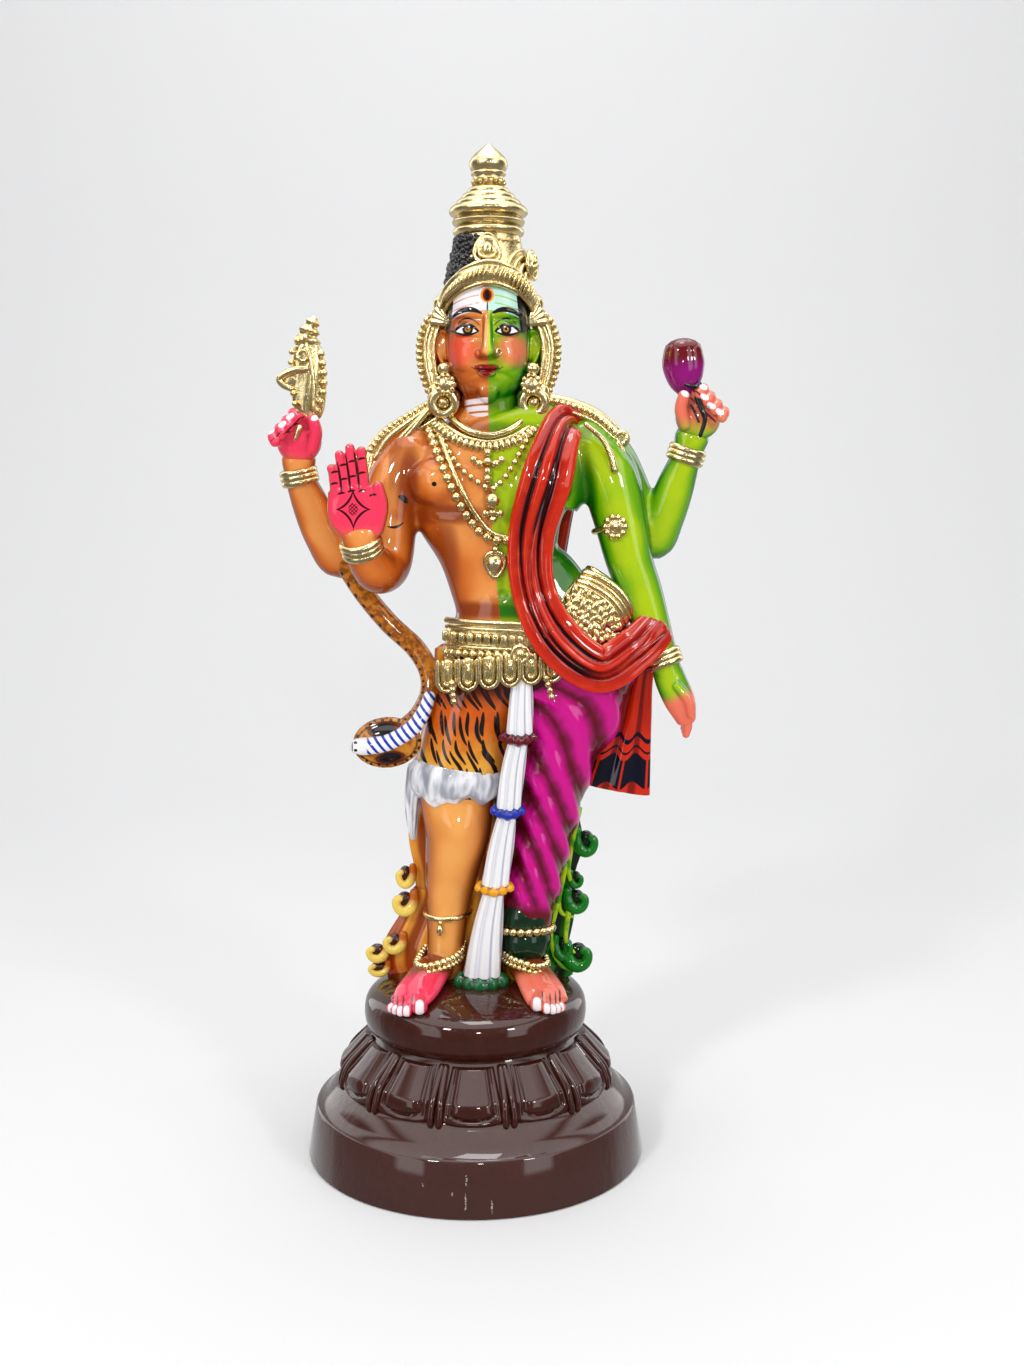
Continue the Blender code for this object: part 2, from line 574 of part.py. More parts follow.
def base_profile():
    """Radius and height of the base in metres, from the dome's centre down to the underside."""
    dome = [(0.0, STAND_Z)]
    for share in (0.45, 0.75, 0.92):
        dome.append((share * DOME_RADIUS, dome_height(share * DOME_RADIUS, 0)))
    rim_drop = DISC_HEIGHT - DOME_DROP
    rim = [
        (DISC_RADIUS * 0.972, LOTUS_TOP + rim_drop * 0.80),
        (DISC_RADIUS, LOTUS_TOP + rim_drop * 0.48),
        (DISC_RADIUS * 0.985, LOTUS_TOP + rim_drop * 0.2),
        (NECK_RADIUS, LOTUS_TOP),
    ]
    lotus = [
        (NECK_RADIUS + 0.002, LOTUS_TOP - 0.001),
        (NECK_RADIUS + 0.75 * (LOTUS_RADIUS - NECK_RADIUS), LOTUS_FOOT + 0.45 * LOTUS_HEIGHT),
        (LOTUS_RADIUS, LOTUS_FOOT + 0.12 * LOTUS_HEIGHT),
        (LOTUS_RADIUS, LOTUS_FOOT),
    ]
    plinth = [
        (PLINTH_RADIUS - PLINTH_TAPER - PLINTH_EDGE, PLINTH_TOP),
        (PLINTH_RADIUS - PLINTH_TAPER, PLINTH_HEIGHT),
        (PLINTH_RADIUS, 0.0),
        (0.0, 0.0),
    ]
    return dome + rim + lotus + plinth


def lotus_slope(share):
    """Radius and height on the lotus ring, from its foot at 0 to the neck at 1."""
    low = (LOTUS_RADIUS, LOTUS_FOOT + 0.06 * LOTUS_HEIGHT)
    mid = (NECK_RADIUS + 0.75 * (LOTUS_RADIUS - NECK_RADIUS), LOTUS_FOOT + 0.45 * LOTUS_HEIGHT)
    top = (NECK_RADIUS + 0.0025, LOTUS_TOP - 0.001)
    if share < 0.45:
        t, a, b = share / 0.45, low, mid
    else:
        t, a, b = (share - 0.45) / 0.55, mid, top
    return a[0] + (b[0] - a[0]) * t, a[1] + (b[1] - a[1]) * t


def petal(name, turn, group):
    """One lotus petal: a round-ended leaf on the ring with a raised inner leaf."""
    work = bmesh.new()
    half = math.pi / PETALS * (1 - PETAL_FILL / 2)
    levels = [(1.0, -0.004), (1.0, PETAL_RAISE * 0.75), (0.72, PETAL_RAISE * 0.4), (0.56, PETAL_RAISE)]
    outline = [(-0.86, 0.98), (-0.97, 0.5), (-1.0, 0.22), (-0.72, 0.06), (0.0, 0.0),
               (0.72, 0.06), (1.0, 0.22), (0.97, 0.5), (0.86, 0.98)]
    loops = []
    for narrow, raise_by in levels:
        loop = []
        for across, up in outline:
            share = 0.5 + (up - 0.5) * (0.5 + narrow / 2) + (1 - narrow) * 0.12
            radius, height = lotus_slope(share)
            angle = turn + across * narrow * half * (1.05 - 0.1 * up)
            reach = radius + raise_by
            spot = (reach * math.sin(angle), -reach * math.cos(angle), height + raise_by * 0.5)
            loop.append(work.verts.new(spot))
        loops.append(loop)
    for low, high in zip(loops, loops[1:]):
        for k in range(len(outline)):
            nxt = (k + 1) % len(outline)
            work.faces.new((low[k], low[nxt], high[nxt], high[k]))
    work.faces.new(loops[0][::-1])
    work.faces.new(loops[-1])
    bmesh.ops.triangulate(work, faces=work.faces)
    bmesh.ops.recalc_face_normals(work, faces=work.faces)
    mesh = bpy.data.meshes.new(name)
    work.to_mesh(mesh)
    work.free()
    item = bpy.data.objects.new(name, mesh)
    group.objects.link(item)
    return item


def lacquer():
    """Brown gloss lacquer."""
    paint = bpy.data.materials.new("painted_lacquer")
    paint.use_nodes = True
    shader = paint.node_tree.nodes["Principled BSDF"]
    shader.inputs["Base Color"].default_value = (0.60, 0.30, 0.10, 1)
    shader.inputs["Roughness"].default_value = 0.2
    shader.inputs["Metallic"].default_value = 0.0
    return paint


def build():
    """The statue: the turned base joined with its petals, the figure and the crown."""
    clear_scene()
    parts = new_collection("ardhanarishvara_statue")
    workshop = new_collection("workshop")
    petal_forms = [petal(f"petal_{k}", 2 * math.pi * k / PETALS, workshop) for k in range(PETALS)]
    joined = [figure_skin(workshop), crown(workshop)] + petal_forms
    statue = turned("statue", base_profile(), BASE_STEPS, parts)
    for item in joined:
        item.hide_render = True
        item.display_type = "WIRE"
    union = statue.modifiers.new("join", "BOOLEAN")
    union.operation = "UNION"
    union.operand_type = "COLLECTION"
    union.collection = workshop
    union.solver = "EXACT"
    statue.data.materials.append(lacquer())


build()
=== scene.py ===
"""The painted finish of a standing Ardhanarishvara doll: skin, cloths, gold ornaments and lotus base.

The doll is written in its own units: one unit is a five-hundredth of the figure's height, which is a
millimetre on the real doll. Heights in units count from the soles, +X is the figure's left, -Y its front.
"""

import functools
import math

import bmesh
import bpy
import numpy as np
from mathutils import Matrix, Vector


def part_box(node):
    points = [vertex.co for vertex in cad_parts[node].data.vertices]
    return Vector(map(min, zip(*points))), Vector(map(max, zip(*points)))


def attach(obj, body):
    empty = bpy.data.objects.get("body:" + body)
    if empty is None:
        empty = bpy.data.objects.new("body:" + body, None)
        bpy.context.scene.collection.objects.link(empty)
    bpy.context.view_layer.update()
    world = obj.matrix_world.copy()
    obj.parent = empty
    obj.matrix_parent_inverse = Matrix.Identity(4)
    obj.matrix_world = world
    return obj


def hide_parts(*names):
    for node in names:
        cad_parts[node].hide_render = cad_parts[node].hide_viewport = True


bl_info = {
    "name": "Ardhanarishvara Doll",
    "version": (1, 0, 0),
    "blender": (4, 5, 0),
    "location": "View3D > Sidebar > Doll",
    "description": "Models and paints a moulded festival doll on its lotus base, piece by piece",
    "category": "Object",
}

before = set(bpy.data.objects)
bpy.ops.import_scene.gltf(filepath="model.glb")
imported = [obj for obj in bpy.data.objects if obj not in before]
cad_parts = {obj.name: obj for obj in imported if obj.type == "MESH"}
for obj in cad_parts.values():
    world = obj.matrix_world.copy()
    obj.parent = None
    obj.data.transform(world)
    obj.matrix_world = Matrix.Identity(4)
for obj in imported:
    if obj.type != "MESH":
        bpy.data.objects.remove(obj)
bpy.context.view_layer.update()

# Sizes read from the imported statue
STATUE_LOW, STATUE_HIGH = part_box("statue")
WHOLE_UNITS = 610
BASE_UNITS = 110
UNIT = (STATUE_HIGH.z - STATUE_LOW.z) / WHOLE_UNITS
STAND_Z = BASE_UNITS * UNIT
PLACE = Matrix.Translation((0, 0, STAND_Z)) @ Matrix.Scale(UNIT, 4)
PLINTH_RADIUS = (STATUE_HIGH.y - STATUE_LOW.y) / 2 / UNIT

FRONT = (0.0, 1.0, 0.0)
UPWARD = (0.0, 0.0, 1.0)


def srgb(red, green, blue):
    """A colour given in the usual 0 to 255 steps, as the linear values that Blender mixes with."""
    return tuple((c / 255) ** 2.2 for c in (red, green, blue))


# The sizes and colours that a user would change

class DollSizes(bpy.types.PropertyGroup):
    """How finely the doll is modelled, and the sizes of its base."""

    skin_voxel: bpy.props.FloatProperty(
        name="Skin grain", description="Voxel of the fused trunk and arms, in doll units", default=1.5)
    face_voxel: bpy.props.FloatProperty(
        name="Face grain", description="Voxel of the fused head, in doll units", default=0.62)
    hand_voxel: bpy.props.FloatProperty(
        name="Hand grain", description="Voxel of the fused hands and feet, in doll units", default=0.62)
    plinth_radius: bpy.props.FloatProperty(
        name="Plinth radius", description="Radius of the plinth's underside, in doll units",
        default=PLINTH_RADIUS)
    petals: bpy.props.IntProperty(
        name="Lotus petals", description="Big petals round the base", default=12)


def colour_property(name, description, rgb):
    """A colour setting of the add-on."""
    return bpy.props.FloatVectorProperty(
        name=name, description=description, subtype="COLOR", size=3, min=0, max=1, default=srgb(*rgb))


class DollColours(bpy.types.PropertyGroup):
    """The paints of the doll."""

    # Peach and lime are painted highlights, laid where the skin faces the front; brown and deep green are
    # painted shade towards the edges.
    orange: colour_property("Orange skin", "Middle tone of the right half's skin", (208, 106, 36))
    peach: colour_property("Peach light", "Light tone of the right half's skin", (240, 160, 86))
    brown: colour_property("Brown shade", "Airbrushed shade of the right half's skin", (140, 58, 18))
    lime: colour_property("Lime skin", "Light tone of the left half's skin", (168, 196, 16))
    green: colour_property("Green skin", "Middle tone of the left half's skin", (104, 168, 12))
    deep_green: colour_property("Deep green", "Airbrushed shade of the left half's skin", (8, 104, 14))
    rose: colour_property("Rose", "Palms and toes of the right half", (244, 58, 92))
    salmon: colour_property("Salmon", "Palms and toes of the left half", (236, 116, 92))
    gold: colour_property("Gold", "Metallic ornament paint", (234, 212, 152))
    sash_red: colour_property("Sash red", "Shoulder sash", (206, 42, 10))
    maroon: colour_property("Maroon", "Brush strokes in the sash's folds", (70, 8, 14))
    sari: colour_property("Sari magenta", "Crests of the sari's folds", (204, 14, 136))
    base_brown: colour_property("Base brown", "Gloss lacquer of the base", (60, 27, 19))


def sizes():
    """The size settings in use."""
    return bpy.context.scene.doll_sizes


def colours():
    """The paint settings in use."""
    return bpy.context.scene.doll_colours


# Nodes: values that run through a material as plain sums

def feed(tree, value, port):
    """Puts a wire or a plain value into a socket."""
    if isinstance(value, Wire):
        tree.links.new(value.socket, port)
    elif hasattr(value, "__len__") and len(value) == 3 and port.type == "RGBA":
        port.default_value = (*value, 1)
    else:
        port.default_value = value


class Wire:
    """A value in a node tree, which can be added, multiplied and compared."""

    def __init__(self, tree, socket):
        self.tree = tree
        self.socket = socket

    def run(self, operation, *others):
        node = self.tree.nodes.new("ShaderNodeMath")
        node.operation = operation
        for port, value in zip(node.inputs, (self, *others)):
            feed(self.tree, value, port)
        return Wire(self.tree, node.outputs[0])

    def __add__(self, other):
        return self.run("ADD", other)

    def __sub__(self, other):
        return self.run("SUBTRACT", other)

    def __mul__(self, other):
        return self.run("MULTIPLY", other)

    def __truediv__(self, other):
        return self.run("DIVIDE", other)

    def __abs__(self):
        return self.run("ABSOLUTE")

    def __invert__(self):
        return self * -1 + 1

    def squared(self):
        return self * self

    def least(self, other):
        return self.run("MINIMUM", other)

    def most(self, other):
        return self.run("MAXIMUM", other)

    def wave(self):
        return self.run("SINE")

    def rise(self, low, high):
        """0 below low, 1 above high, and smooth between them."""
        node = self.tree.nodes.new("ShaderNodeMapRange")
        node.interpolation_type = "SMOOTHSTEP"
        feed(self.tree, self, node.inputs[0])
        node.inputs[1].default_value = low
        node.inputs[2].default_value = high
        return Wire(self.tree, node.outputs[0])

    def within(self, low, high, soft):
        """1 between two values and 0 outside them."""
        return self.rise(low - soft, low + soft) * ~self.rise(high - soft, high + soft)


def any_of(masks):
    """The most of several masks at each point."""
    return functools.reduce(Wire.most, masks)


def coats(colour, *layers):
    """Coats of paint over a colour, each given as its mask and its paint."""
    for mask, paint in layers:
        colour = mixed(mask, colour, paint)
    return colour


def mixed(mask, under, over):
    """The colour over shown on the colour under where the mask is 1."""
    node = mask.tree.nodes.new("ShaderNodeMix")
    node.data_type = "RGBA"
    feed(mask.tree, mask, node.inputs[0])
    feed(mask.tree, under, node.inputs[6])
    feed(mask.tree, over, node.inputs[7])
    return Wire(mask.tree, node.outputs[2])


def split(tree, vector):
    """The three parts of a vector socket."""
    node = tree.nodes.new("ShaderNodeSeparateXYZ")
    tree.links.new(vector, node.inputs[0])
    return [Wire(tree, port) for port in node.outputs]


def doll_place(tree):
    """Across, depth and height of the shaded point, in doll units."""
    spot = split(tree, tree.nodes.new("ShaderNodeTexCoord").outputs["Object"])
    return spot[0] / UNIT, spot[1] / UNIT, (spot[2] - STAND_Z) / UNIT


def facing(tree):
    """The parts of the surface's own direction."""
    return split(tree, tree.nodes.new("ShaderNodeNewGeometry").outputs["Normal"])


def own_uv(tree):
    """Round and along on a lofted piece."""
    return split(tree, tree.nodes.new("ShaderNodeUVMap").outputs[0])[:2]


def cloud(tree, scale, detail=2.0, stretch=(1, 1, 1)):
    """Even noise from 0 to 1; scale counts blotches in 100 units."""
    coord = tree.nodes.new("ShaderNodeTexCoord")
    mapping = tree.nodes.new("ShaderNodeMapping")
    step = scale / (100 * UNIT)
    mapping.inputs["Scale"].default_value = tuple(step * s for s in stretch)
    tree.links.new(coord.outputs["Object"], mapping.inputs[0])
    noise = tree.nodes.new("ShaderNodeTexNoise")
    noise.inputs["Scale"].default_value = 1.0
    noise.inputs["Detail"].default_value = detail
    tree.links.new(mapping.outputs[0], noise.inputs["Vector"])
    return Wire(tree, noise.outputs[0])


def oval(x, z, centre, radii, turn=0.0, soft=0.2):
    """1 inside a painted oval."""
    across, up = x - centre[0], z - centre[1]
    cos, sin = math.cos(turn), math.sin(turn)
    one = (across * cos + up * sin) / radii[0]
    two = (up * cos - across * sin) / radii[1]
    return ~(one.squared() + two.squared()).rise(1 - soft, 1 + soft)


def stroke(x, z, centre, half, bow, thick, turn=0.0, soft=0.22):
    """1 on a tapering brush stroke, bowed upwards at its middle."""
    across, up = x - centre[0], z - centre[1]
    cos, sin = math.cos(turn), math.sin(turn)
    run = (across * cos + up * sin) / half
    rise_by = up * cos - across * sin
    arch = (run.squared() * -1 + 1)
    width = arch.most(0.0).run("SQRT") * thick
    away = abs(rise_by - arch * bow)
    return (width - away).rise(-soft, soft) * arch.rise(0.0, 0.05)


def effect_group(name, inputs, outputs):
    """An empty node group with named inputs, as (name, kind, default), and outputs, as (name, kind)."""
    tree = bpy.data.node_groups.new(name, "ShaderNodeTree")
    for label, kind, value in inputs:
        socket = tree.interface.new_socket(label, in_out="INPUT", socket_type=kind)
        socket.default_value = value
    for label, kind in outputs:
        tree.interface.new_socket(label, in_out="OUTPUT", socket_type=kind)
    entry = tree.nodes.new("NodeGroupInput")
    leave = tree.nodes.new("NodeGroupOutput")
    return tree, [Wire(tree, port) for port in entry.outputs[:len(inputs)]], leave.inputs


def use_group(tree, group, *values):
    """Places an effect in a material and gives its outputs."""
    node = tree.nodes.new("ShaderNodeGroup")
    node.node_tree = group
    for port, value in zip(node.inputs, values):
        feed(tree, value, port)
    return [Wire(tree, port) for port in node.outputs]


def painted_shade_and_light():
    """Group: painted shade towards the sides and painted highlights on what faces the front and upwards,
    softened by clouds.
    """
    known = bpy.data.node_groups.get("airbrush_shade")
    if known:
        return known
    tree, (low, high), leave = effect_group(
        "airbrush_shade",
        [("Low", "NodeSocketFloat", 0.35), ("High", "NodeSocketFloat", 0.9)],
        [("Shade", "NodeSocketFloat"), ("Light", "NodeSocketFloat")])
    normal = facing(tree)
    drift = cloud(tree, 3.6, 1.0) * 0.5 - 0.25
    front = abs(normal[1]) + drift + normal[2] * 0.12
    level = ((front - low) / (high - low)).most(0.0).least(1.0)
    feed(tree, ~level, leave[0])
    feed(tree, (front + cloud(tree, 5, 0.0) * 0.2 - 0.1).rise(0.72, 1.05), leave[1])
    return tree


def lacquer_coat():
    """Group: the small unevenness of brushed lacquer, as a bump height."""
    known = bpy.data.node_groups.get("lacquer_coat")
    if known:
        return known
    tree, (amount,), leave = effect_group(
        "lacquer_coat", [("Amount", "NodeSocketFloat", 1.0)], [("Height", "NodeSocketFloat")])
    ripple = cloud(tree, 26, 2.0) * 0.6 + cloud(tree, 90, 1.0) * 0.18
    feed(tree, ripple * amount, leave[0])
    return tree


def hand_gilding():
    """Group: colour, roughness and height of hand-laid metallic gold, with painted shade darkening its pits.
    """
    known = bpy.data.node_groups.get("hand_gilding")
    if known:
        return known
    tree, (gold,), leave = effect_group(
        "hand_gilding", [("Gold", "NodeSocketColor", (0.8, 0.6, 0.3, 1))],
        [("Colour", "NodeSocketColor"), ("Roughness", "NodeSocketFloat"), ("Height", "NodeSocketFloat")])
    fine = cloud(tree, 120, 3.0)
    broad = cloud(tree, 24, 2.0)
    warm = mixed(broad.rise(0.35, 0.7), gold, (0.87, 0.71, 0.40))
    # Painted shade: the gold darkens to brown in its crevices, read from the surface's pointiness.
    crevice = tree.nodes.new("ShaderNodeNewGeometry").outputs["Pointiness"]
    painted_pit_shade = ~Wire(tree, crevice).rise(0.40, 0.49)
    feed(tree, mixed(painted_pit_shade * 0.75, warm, (0.15, 0.10, 0.05)), leave[0])
    feed(tree, fine * 0.16 + 0.14, leave[1])
    feed(tree, fine * 0.5 + broad * 0.9, leave[2])
    return tree


def paint_material(name, make_colour, roughness=0.35, bump=0.3, height=None):
    """A lacquered paint whose colour is worked out by make_colour from the material's node tree."""
    known = bpy.data.materials.get(name)
    if known:
        return known
    paint = bpy.data.materials.new(name)
    paint.use_nodes = True
    tree = paint.node_tree
    shader = tree.nodes["Principled BSDF"]
    feed(tree, make_colour(tree), shader.inputs["Base Color"])
    shader.inputs["Roughness"].default_value = roughness
    shader.inputs["Coat Weight"].default_value = 1.0
    shader.inputs["Coat Roughness"].default_value = 0.04
    shader.inputs["Specular IOR Level"].default_value = 0.08
    relief = tree.nodes.new("ShaderNodeBump")
    relief.inputs["Strength"].default_value = bump
    relief.inputs["Distance"].default_value = UNIT
    rise = height(tree) if height else use_group(tree, lacquer_coat(), 1.0)[0]
    feed(tree, rise, relief.inputs["Height"])
    tree.links.new(relief.outputs[0], shader.inputs["Normal"])
    return paint


def gold_paint():
    """The metallic gold of every ornament."""
    name = "gold_ornament_paint"
    known = bpy.data.materials.get(name)
    if known:
        return known
    paint = bpy.data.materials.new(name)
    paint.use_nodes = True
    tree = paint.node_tree
    shader = tree.nodes["Principled BSDF"]
    colour, roughness, height = use_group(tree, hand_gilding(), colours().gold)
    feed(tree, colour, shader.inputs["Base Color"])
    feed(tree, roughness, shader.inputs["Roughness"])
    shader.inputs["Metallic"].default_value = 1.0
    relief = tree.nodes.new("ShaderNodeBump")
    relief.inputs["Strength"].default_value = 0.5
    relief.inputs["Distance"].default_value = UNIT * 0.6
    feed(tree, height, relief.inputs["Height"])
    tree.links.new(relief.outputs[0], shader.inputs["Normal"])
    return paint


# The paints of this doll

def midline(z):
    """Where across the orange half meets the green one at a height."""
    low = (z * -1 + 350).most(0.0)
    return low.squared() * 0.00042 + 9.2


def skin_colour(tree):
    """Orange on the figure's right half and green on its left, with painted shade towards the edges and
    painted highlights where the skin faces the front.
    """
    x, _, z = doll_place(tree)
    shade, light = use_group(tree, painted_shade_and_light(), 0.25, 0.85)
    paints = colours()
    orange = mixed(light * 0.75, mixed(shade.rise(0.0, 0.85), paints.orange, paints.brown), paints.peach)
    green = mixed(shade.rise(0.15, 0.8), mixed(light, paints.green, paints.lime), paints.deep_green)
    side = (x - midline(z)).rise(-0.25, 0.25)
    return mixed(side, orange, green)


def painted_shadows(x, z, colour):
    """Sprayed shade under the breast, at the armpits, round the waist and over the belt."""
    paints = colours()
    side = (x - midline(z)).rise(-0.3, 0.3)
    dark = any_of(oval(x, z, centre, radii, soft=0.85) * depth for centre, radii, depth in (
            ((-20, 285), (26, 6), 0.9), ((-38, 303), (7, 24), 0.95), ((9, 300), (3, 30), 0.5),
            ((16, 256), (2.5, 26), 0.35), ((8, 229), (40, 5), 0.95), ((66, 296), (7, 24), 0.9),
            ((52, 252), (9, 22), 0.9),
            ((30, 232), (26, 6), 0.7), ((40, 284), (22, 6), 0.6), ((60, 334), (12, 5), 0.5),
            ((9, 333), (36, 6), 0.7), ((-17, 258), (8, 30), 0.75), ((-46, 318), (6, 18), 0.6)))
    return mixed(dark, colour, mixed(side, paints.brown, paints.deep_green))


def body_colour(tree):
    """Skin of the trunk and arms, with the dot on the breast, the brush marks by the armpit, and dark maroon
    painted shade on the trunk below the belt.
    """
    x, y, z = doll_place(tree)
    front = ~y.rise(-6, -3)
    inside = abs(x - 12).within(-1, 62, 1) * front
    plain = skin_colour(tree)
    colour = mixed(inside, plain, painted_shadows(x, z, plain))
    dark = any_of([oval(x, z, (-22.5, 303), (1.5, 1.4)), stroke(x, z, (-41.5, 294), 3.4, 0.6, 1.7, turn=-0.7),
                   stroke(x, z, (-46, 279.5), 5.0, -1.6, 0.8, turn=0.25)])
    colour = mixed(dark * front, colour, BLACK)
    # Painted shade: the trunk below the belt, where it shows between the cloths, turns dark maroon.
    return mixed(~z.rise(197, 200) * inside, colour, srgb(64, 6, 14))


def neck_bands(x, z):
    """Three pale bands on the right half of the throat."""
    arc = (x - 9).squared() * 0.006 + z
    bands = x.within(-5.5, 8.8, 0.4)
    return bands * any_of(arc.within(low, high, 0.3)
                          for low, high in ((350.0, 353.0), (345.8, 348.8), (341.2, 344.6)))


FACE_MIDDLE = 8.4
BLACK = (0.008, 0.006, 0.006)


def face_colour(tree):
    """Face paint: bands and third eye on the brow, eyes, brows, blush and lips, with painted shade under the
    chin and round the eyes and a painted highlight down the nose.
    """
    x, y, z = doll_place(tree)
    front = ~y.rise(-10, -7)
    paints = colours()
    side = (x - midline(z)).rise(-0.2, 0.2)
    mirror = abs(x - FACE_MIDDLE)
    shade = mixed(side, paints.brown, paints.deep_green)
    arc = mirror.squared() * 0.012 + z
    band = arc.within(401.6, 415.0, 0.3) * ~mirror.rise(19.6, 20.4)
    gaps = arc.within(410.0, 410.8, 0.18).most(arc.within(405.6, 406.4, 0.18)) * mirror.rise(4.0, 5.0)
    hair = (mirror - 18.2 - ~side * 2.0 + (z - 400) * 0.12).rise(-0.2, 0.2) * z.rise(388, 391)
    blush = oval(mirror, z, (14.8, 379.5), (9.0, 8.5), soft=0.95) * (side * 0.12 + 0.64)
    colour = coats(
        skin_colour(tree),
        (blush * front, mixed(side, srgb(240, 64, 62), srgb(248, 96, 92))),
        # Painted shadow under the chin, on the throat.
        (oval(mirror, z, (0, 351), (24, 7.5), soft=0.95) * 0.7, shade),
        (neck_bands(x, z) * front, srgb(240, 226, 228)),
        (band * ~(gaps * 0.8) * front, mixed(side, srgb(248, 242, 250), srgb(196, 236, 222))),
        (oval(x, z, (8.6, 410.2), (3.9, 4.3)) * front, srgb(240, 150, 30)),
        (oval(x, z, (8.6, 410.2), (2.6, 3.5)) * front, srgb(120, 22, 12)),
        (oval(x, z, (8.6, 410.2), (1.3, 2.9)) * front, BLACK),
        (stroke(z, x, (403.2, 8.7), 3.4, 0, 0.45) * front, BLACK),
        # Painted shade round the eyes.
        (oval(mirror, z, (11, 396), (10, 4.6), soft=0.8) * 0.4 * front, shade),
        # Painted highlight down the ridge of the nose.
        (oval(x, z, (8.6, 386), (1.6, 9), soft=0.9) * 0.7 * front,
         mixed(side, srgb(250, 190, 120), srgb(214, 222, 60))),
        (any_of([stroke(mirror, z, (11.4, 392.0), 8.0, 5.2, 0.5, turn=-0.03),
                 stroke(mirror, z, (11.4, 398.3), 9.2, 3.8, 1.6, turn=-0.12),
                 stroke(mirror, z, (19.6, 390.2), 3.4, 0.2, 0.5, turn=0.12), hair]) * front, BLACK))
    return eye_paint(mirror, z, front, lip_paint(x, z, front, colour))


def eye_paint(mirror, z, front, colour):
    """Both eyes: thick black lids, small whites, a large dark iris and a spark of light."""
    middle, foot = 11.8, 389.7
    run = (mirror - middle).squared()

    def almond(half, top, low):
        arch = (run * (-1 / half ** 2) + 1).most(0.0)
        above, below = arch * top - (z - foot), (z - foot) + arch * low
        return above.rise(-0.1, 0.2) * below.rise(-0.1, 0.2) * arch.rise(0, 0.02)
    outer = almond(7.7, 5.0, 2.6)
    return coats(
        colour,
        (outer * front, BLACK),
        (almond(6.1, 2.7, 1.3) * front, srgb(250, 250, 252)),
        (oval(mirror, z, (11.0, 391.0), (3.1, 3.4)) * outer * front, BLACK),
        (oval(mirror, z, (11.0, 390.7), (1.7, 1.5)) * front, srgb(184, 116, 44)),
        (oval(mirror, z, (11.0, 391.0), (0.8, 0.8)) * front, BLACK),
        (oval(mirror, z, (10.2, 392.2), (0.55, 0.45)) * front, (1, 1, 1)))


def lip_paint(x, z, front, colour):
    """Dark red lips that smile, with the thin lines that lengthen the mouth."""
    across = x - 8.2
    reach = across.squared()
    top = reach * -0.03 + abs(across) * 0.22 + 370.6
    low = reach * 0.12 + 364.3
    lips = (top - z).rise(-0.15, 0.25) * (z - low).rise(-0.15, 0.25) * ~abs(across).rise(7.0, 7.8)
    colour = mixed(lips * front, colour, srgb(134, 6, 12))
    line = stroke(x, z, (8.5, 370.0), 9.6, -2.2, 0.42)
    return mixed(line * front, colour, srgb(40, 4, 6))


def skin_paint():
    """The two-sided lacquer of trunk and arms."""
    return paint_material("trunk_skin_lacquer", body_colour, bump=0.35)


def face_paint():
    """The painted face."""
    return paint_material("face_lacquer", face_colour, bump=0.12)


# Shapes: smooth paths, lofted forms and forms fused into one skin

def smooth_path(stations, per_span):
    """The stations with smooth ones between them, on one Catmull-Rom curve."""
    known = np.array(stations, float)
    padded = np.vstack([2 * known[0] - known[1], known, 2 * known[-1] - known[-2]])
    steps = np.arange(per_span) / per_span
    t = steps[:, None]
    found = []
    for a, b, c, d in zip(padded, padded[1:], padded[2:], padded[3:]):
        bend = (2 * a - 5 * b + 4 * c - d) * t**2 + (3 * b - a - 3 * c + d) * t**3
        found.append(0.5 * (2 * b + (c - a) * t + bend))
    found.append(known[-1:])
    return np.vstack(found)


def unit_vectors(rows):
    """Each row at length one."""
    return rows / np.maximum(np.linalg.norm(rows, axis=1, keepdims=True), 1e-9)


def rings_through(stations, sides, per_span, depth=FRONT, relief=None, end=0.8):
    """Rings of points through sections given as x, y, z, half width and half depth, with rounded ends.

    relief gives what a point stands out by, from its angle round the section and its share along.
    """
    rows = smooth_path(stations, per_span)
    centres = rows[:, :3]
    along = unit_vectors(np.gradient(centres, axis=0))
    hint = np.array(depth, float)
    deep = unit_vectors(hint - (along @ hint)[:, None] * along)
    wide = np.cross(along, deep)
    angles = np.arange(sides)[None, :] * 2 * math.pi / sides
    shares = np.linspace(0, 1, len(rows))[:, None]
    out = relief(angles, shares) if relief else np.zeros((1, 1))
    across = (np.maximum(rows[:, 3:4], 0.2) + out) * np.cos(angles)
    inward = (np.maximum(rows[:, 4:5], 0.2) + out) * np.sin(angles)
    rings = centres[:, None] + across[:, :, None] * wide[:, None] + inward[:, :, None] * deep[:, None]
    bulges = rows[:, 3:5].min(axis=1) * end
    lead, tail = [], []
    for turn in (84, 70, 50, 25):
        shrink, reach = math.cos(math.radians(turn)), math.sin(math.radians(turn))
        lead.append(centres[0] + (rings[0] - centres[0]) * shrink - along[0] * bulges[0] * reach)
        tail.insert(0, centres[-1] + (rings[-1] - centres[-1]) * shrink + along[-1] * bulges[-1] * reach)
    return np.array(lead + list(rings) + tail)


def hint_for(points):
    """A depth direction that a rope through these points never runs along."""
    run = np.abs(np.array(points[-1], float) - np.array(points[0], float))
    return UPWARD if run[1] > run[2] else FRONT


def rope_stations(points, radius, end_radius=None):
    """Stations of a round rope, even or narrowing to end_radius."""
    radii = np.linspace(radius, radius if end_radius is None else end_radius, len(points))
    return [(*p, r, r) for p, r in zip(points, radii)]


def ring_faces(start, count, sides):
    """The faces that join rings of points into one closed form."""
    faces = []
    for i in range(count - 1):
        low, high = start + i * sides, start + (i + 1) * sides
        for k in range(sides):
            nxt = (k + 1) % sides
            faces.append((low + k, low + nxt, high + nxt, high + k))
    faces += [
        tuple(range(start + sides - 1, start - 1, -1)),
        tuple(range(start + (count - 1) * sides, start + count * sides)),
    ]
    return faces


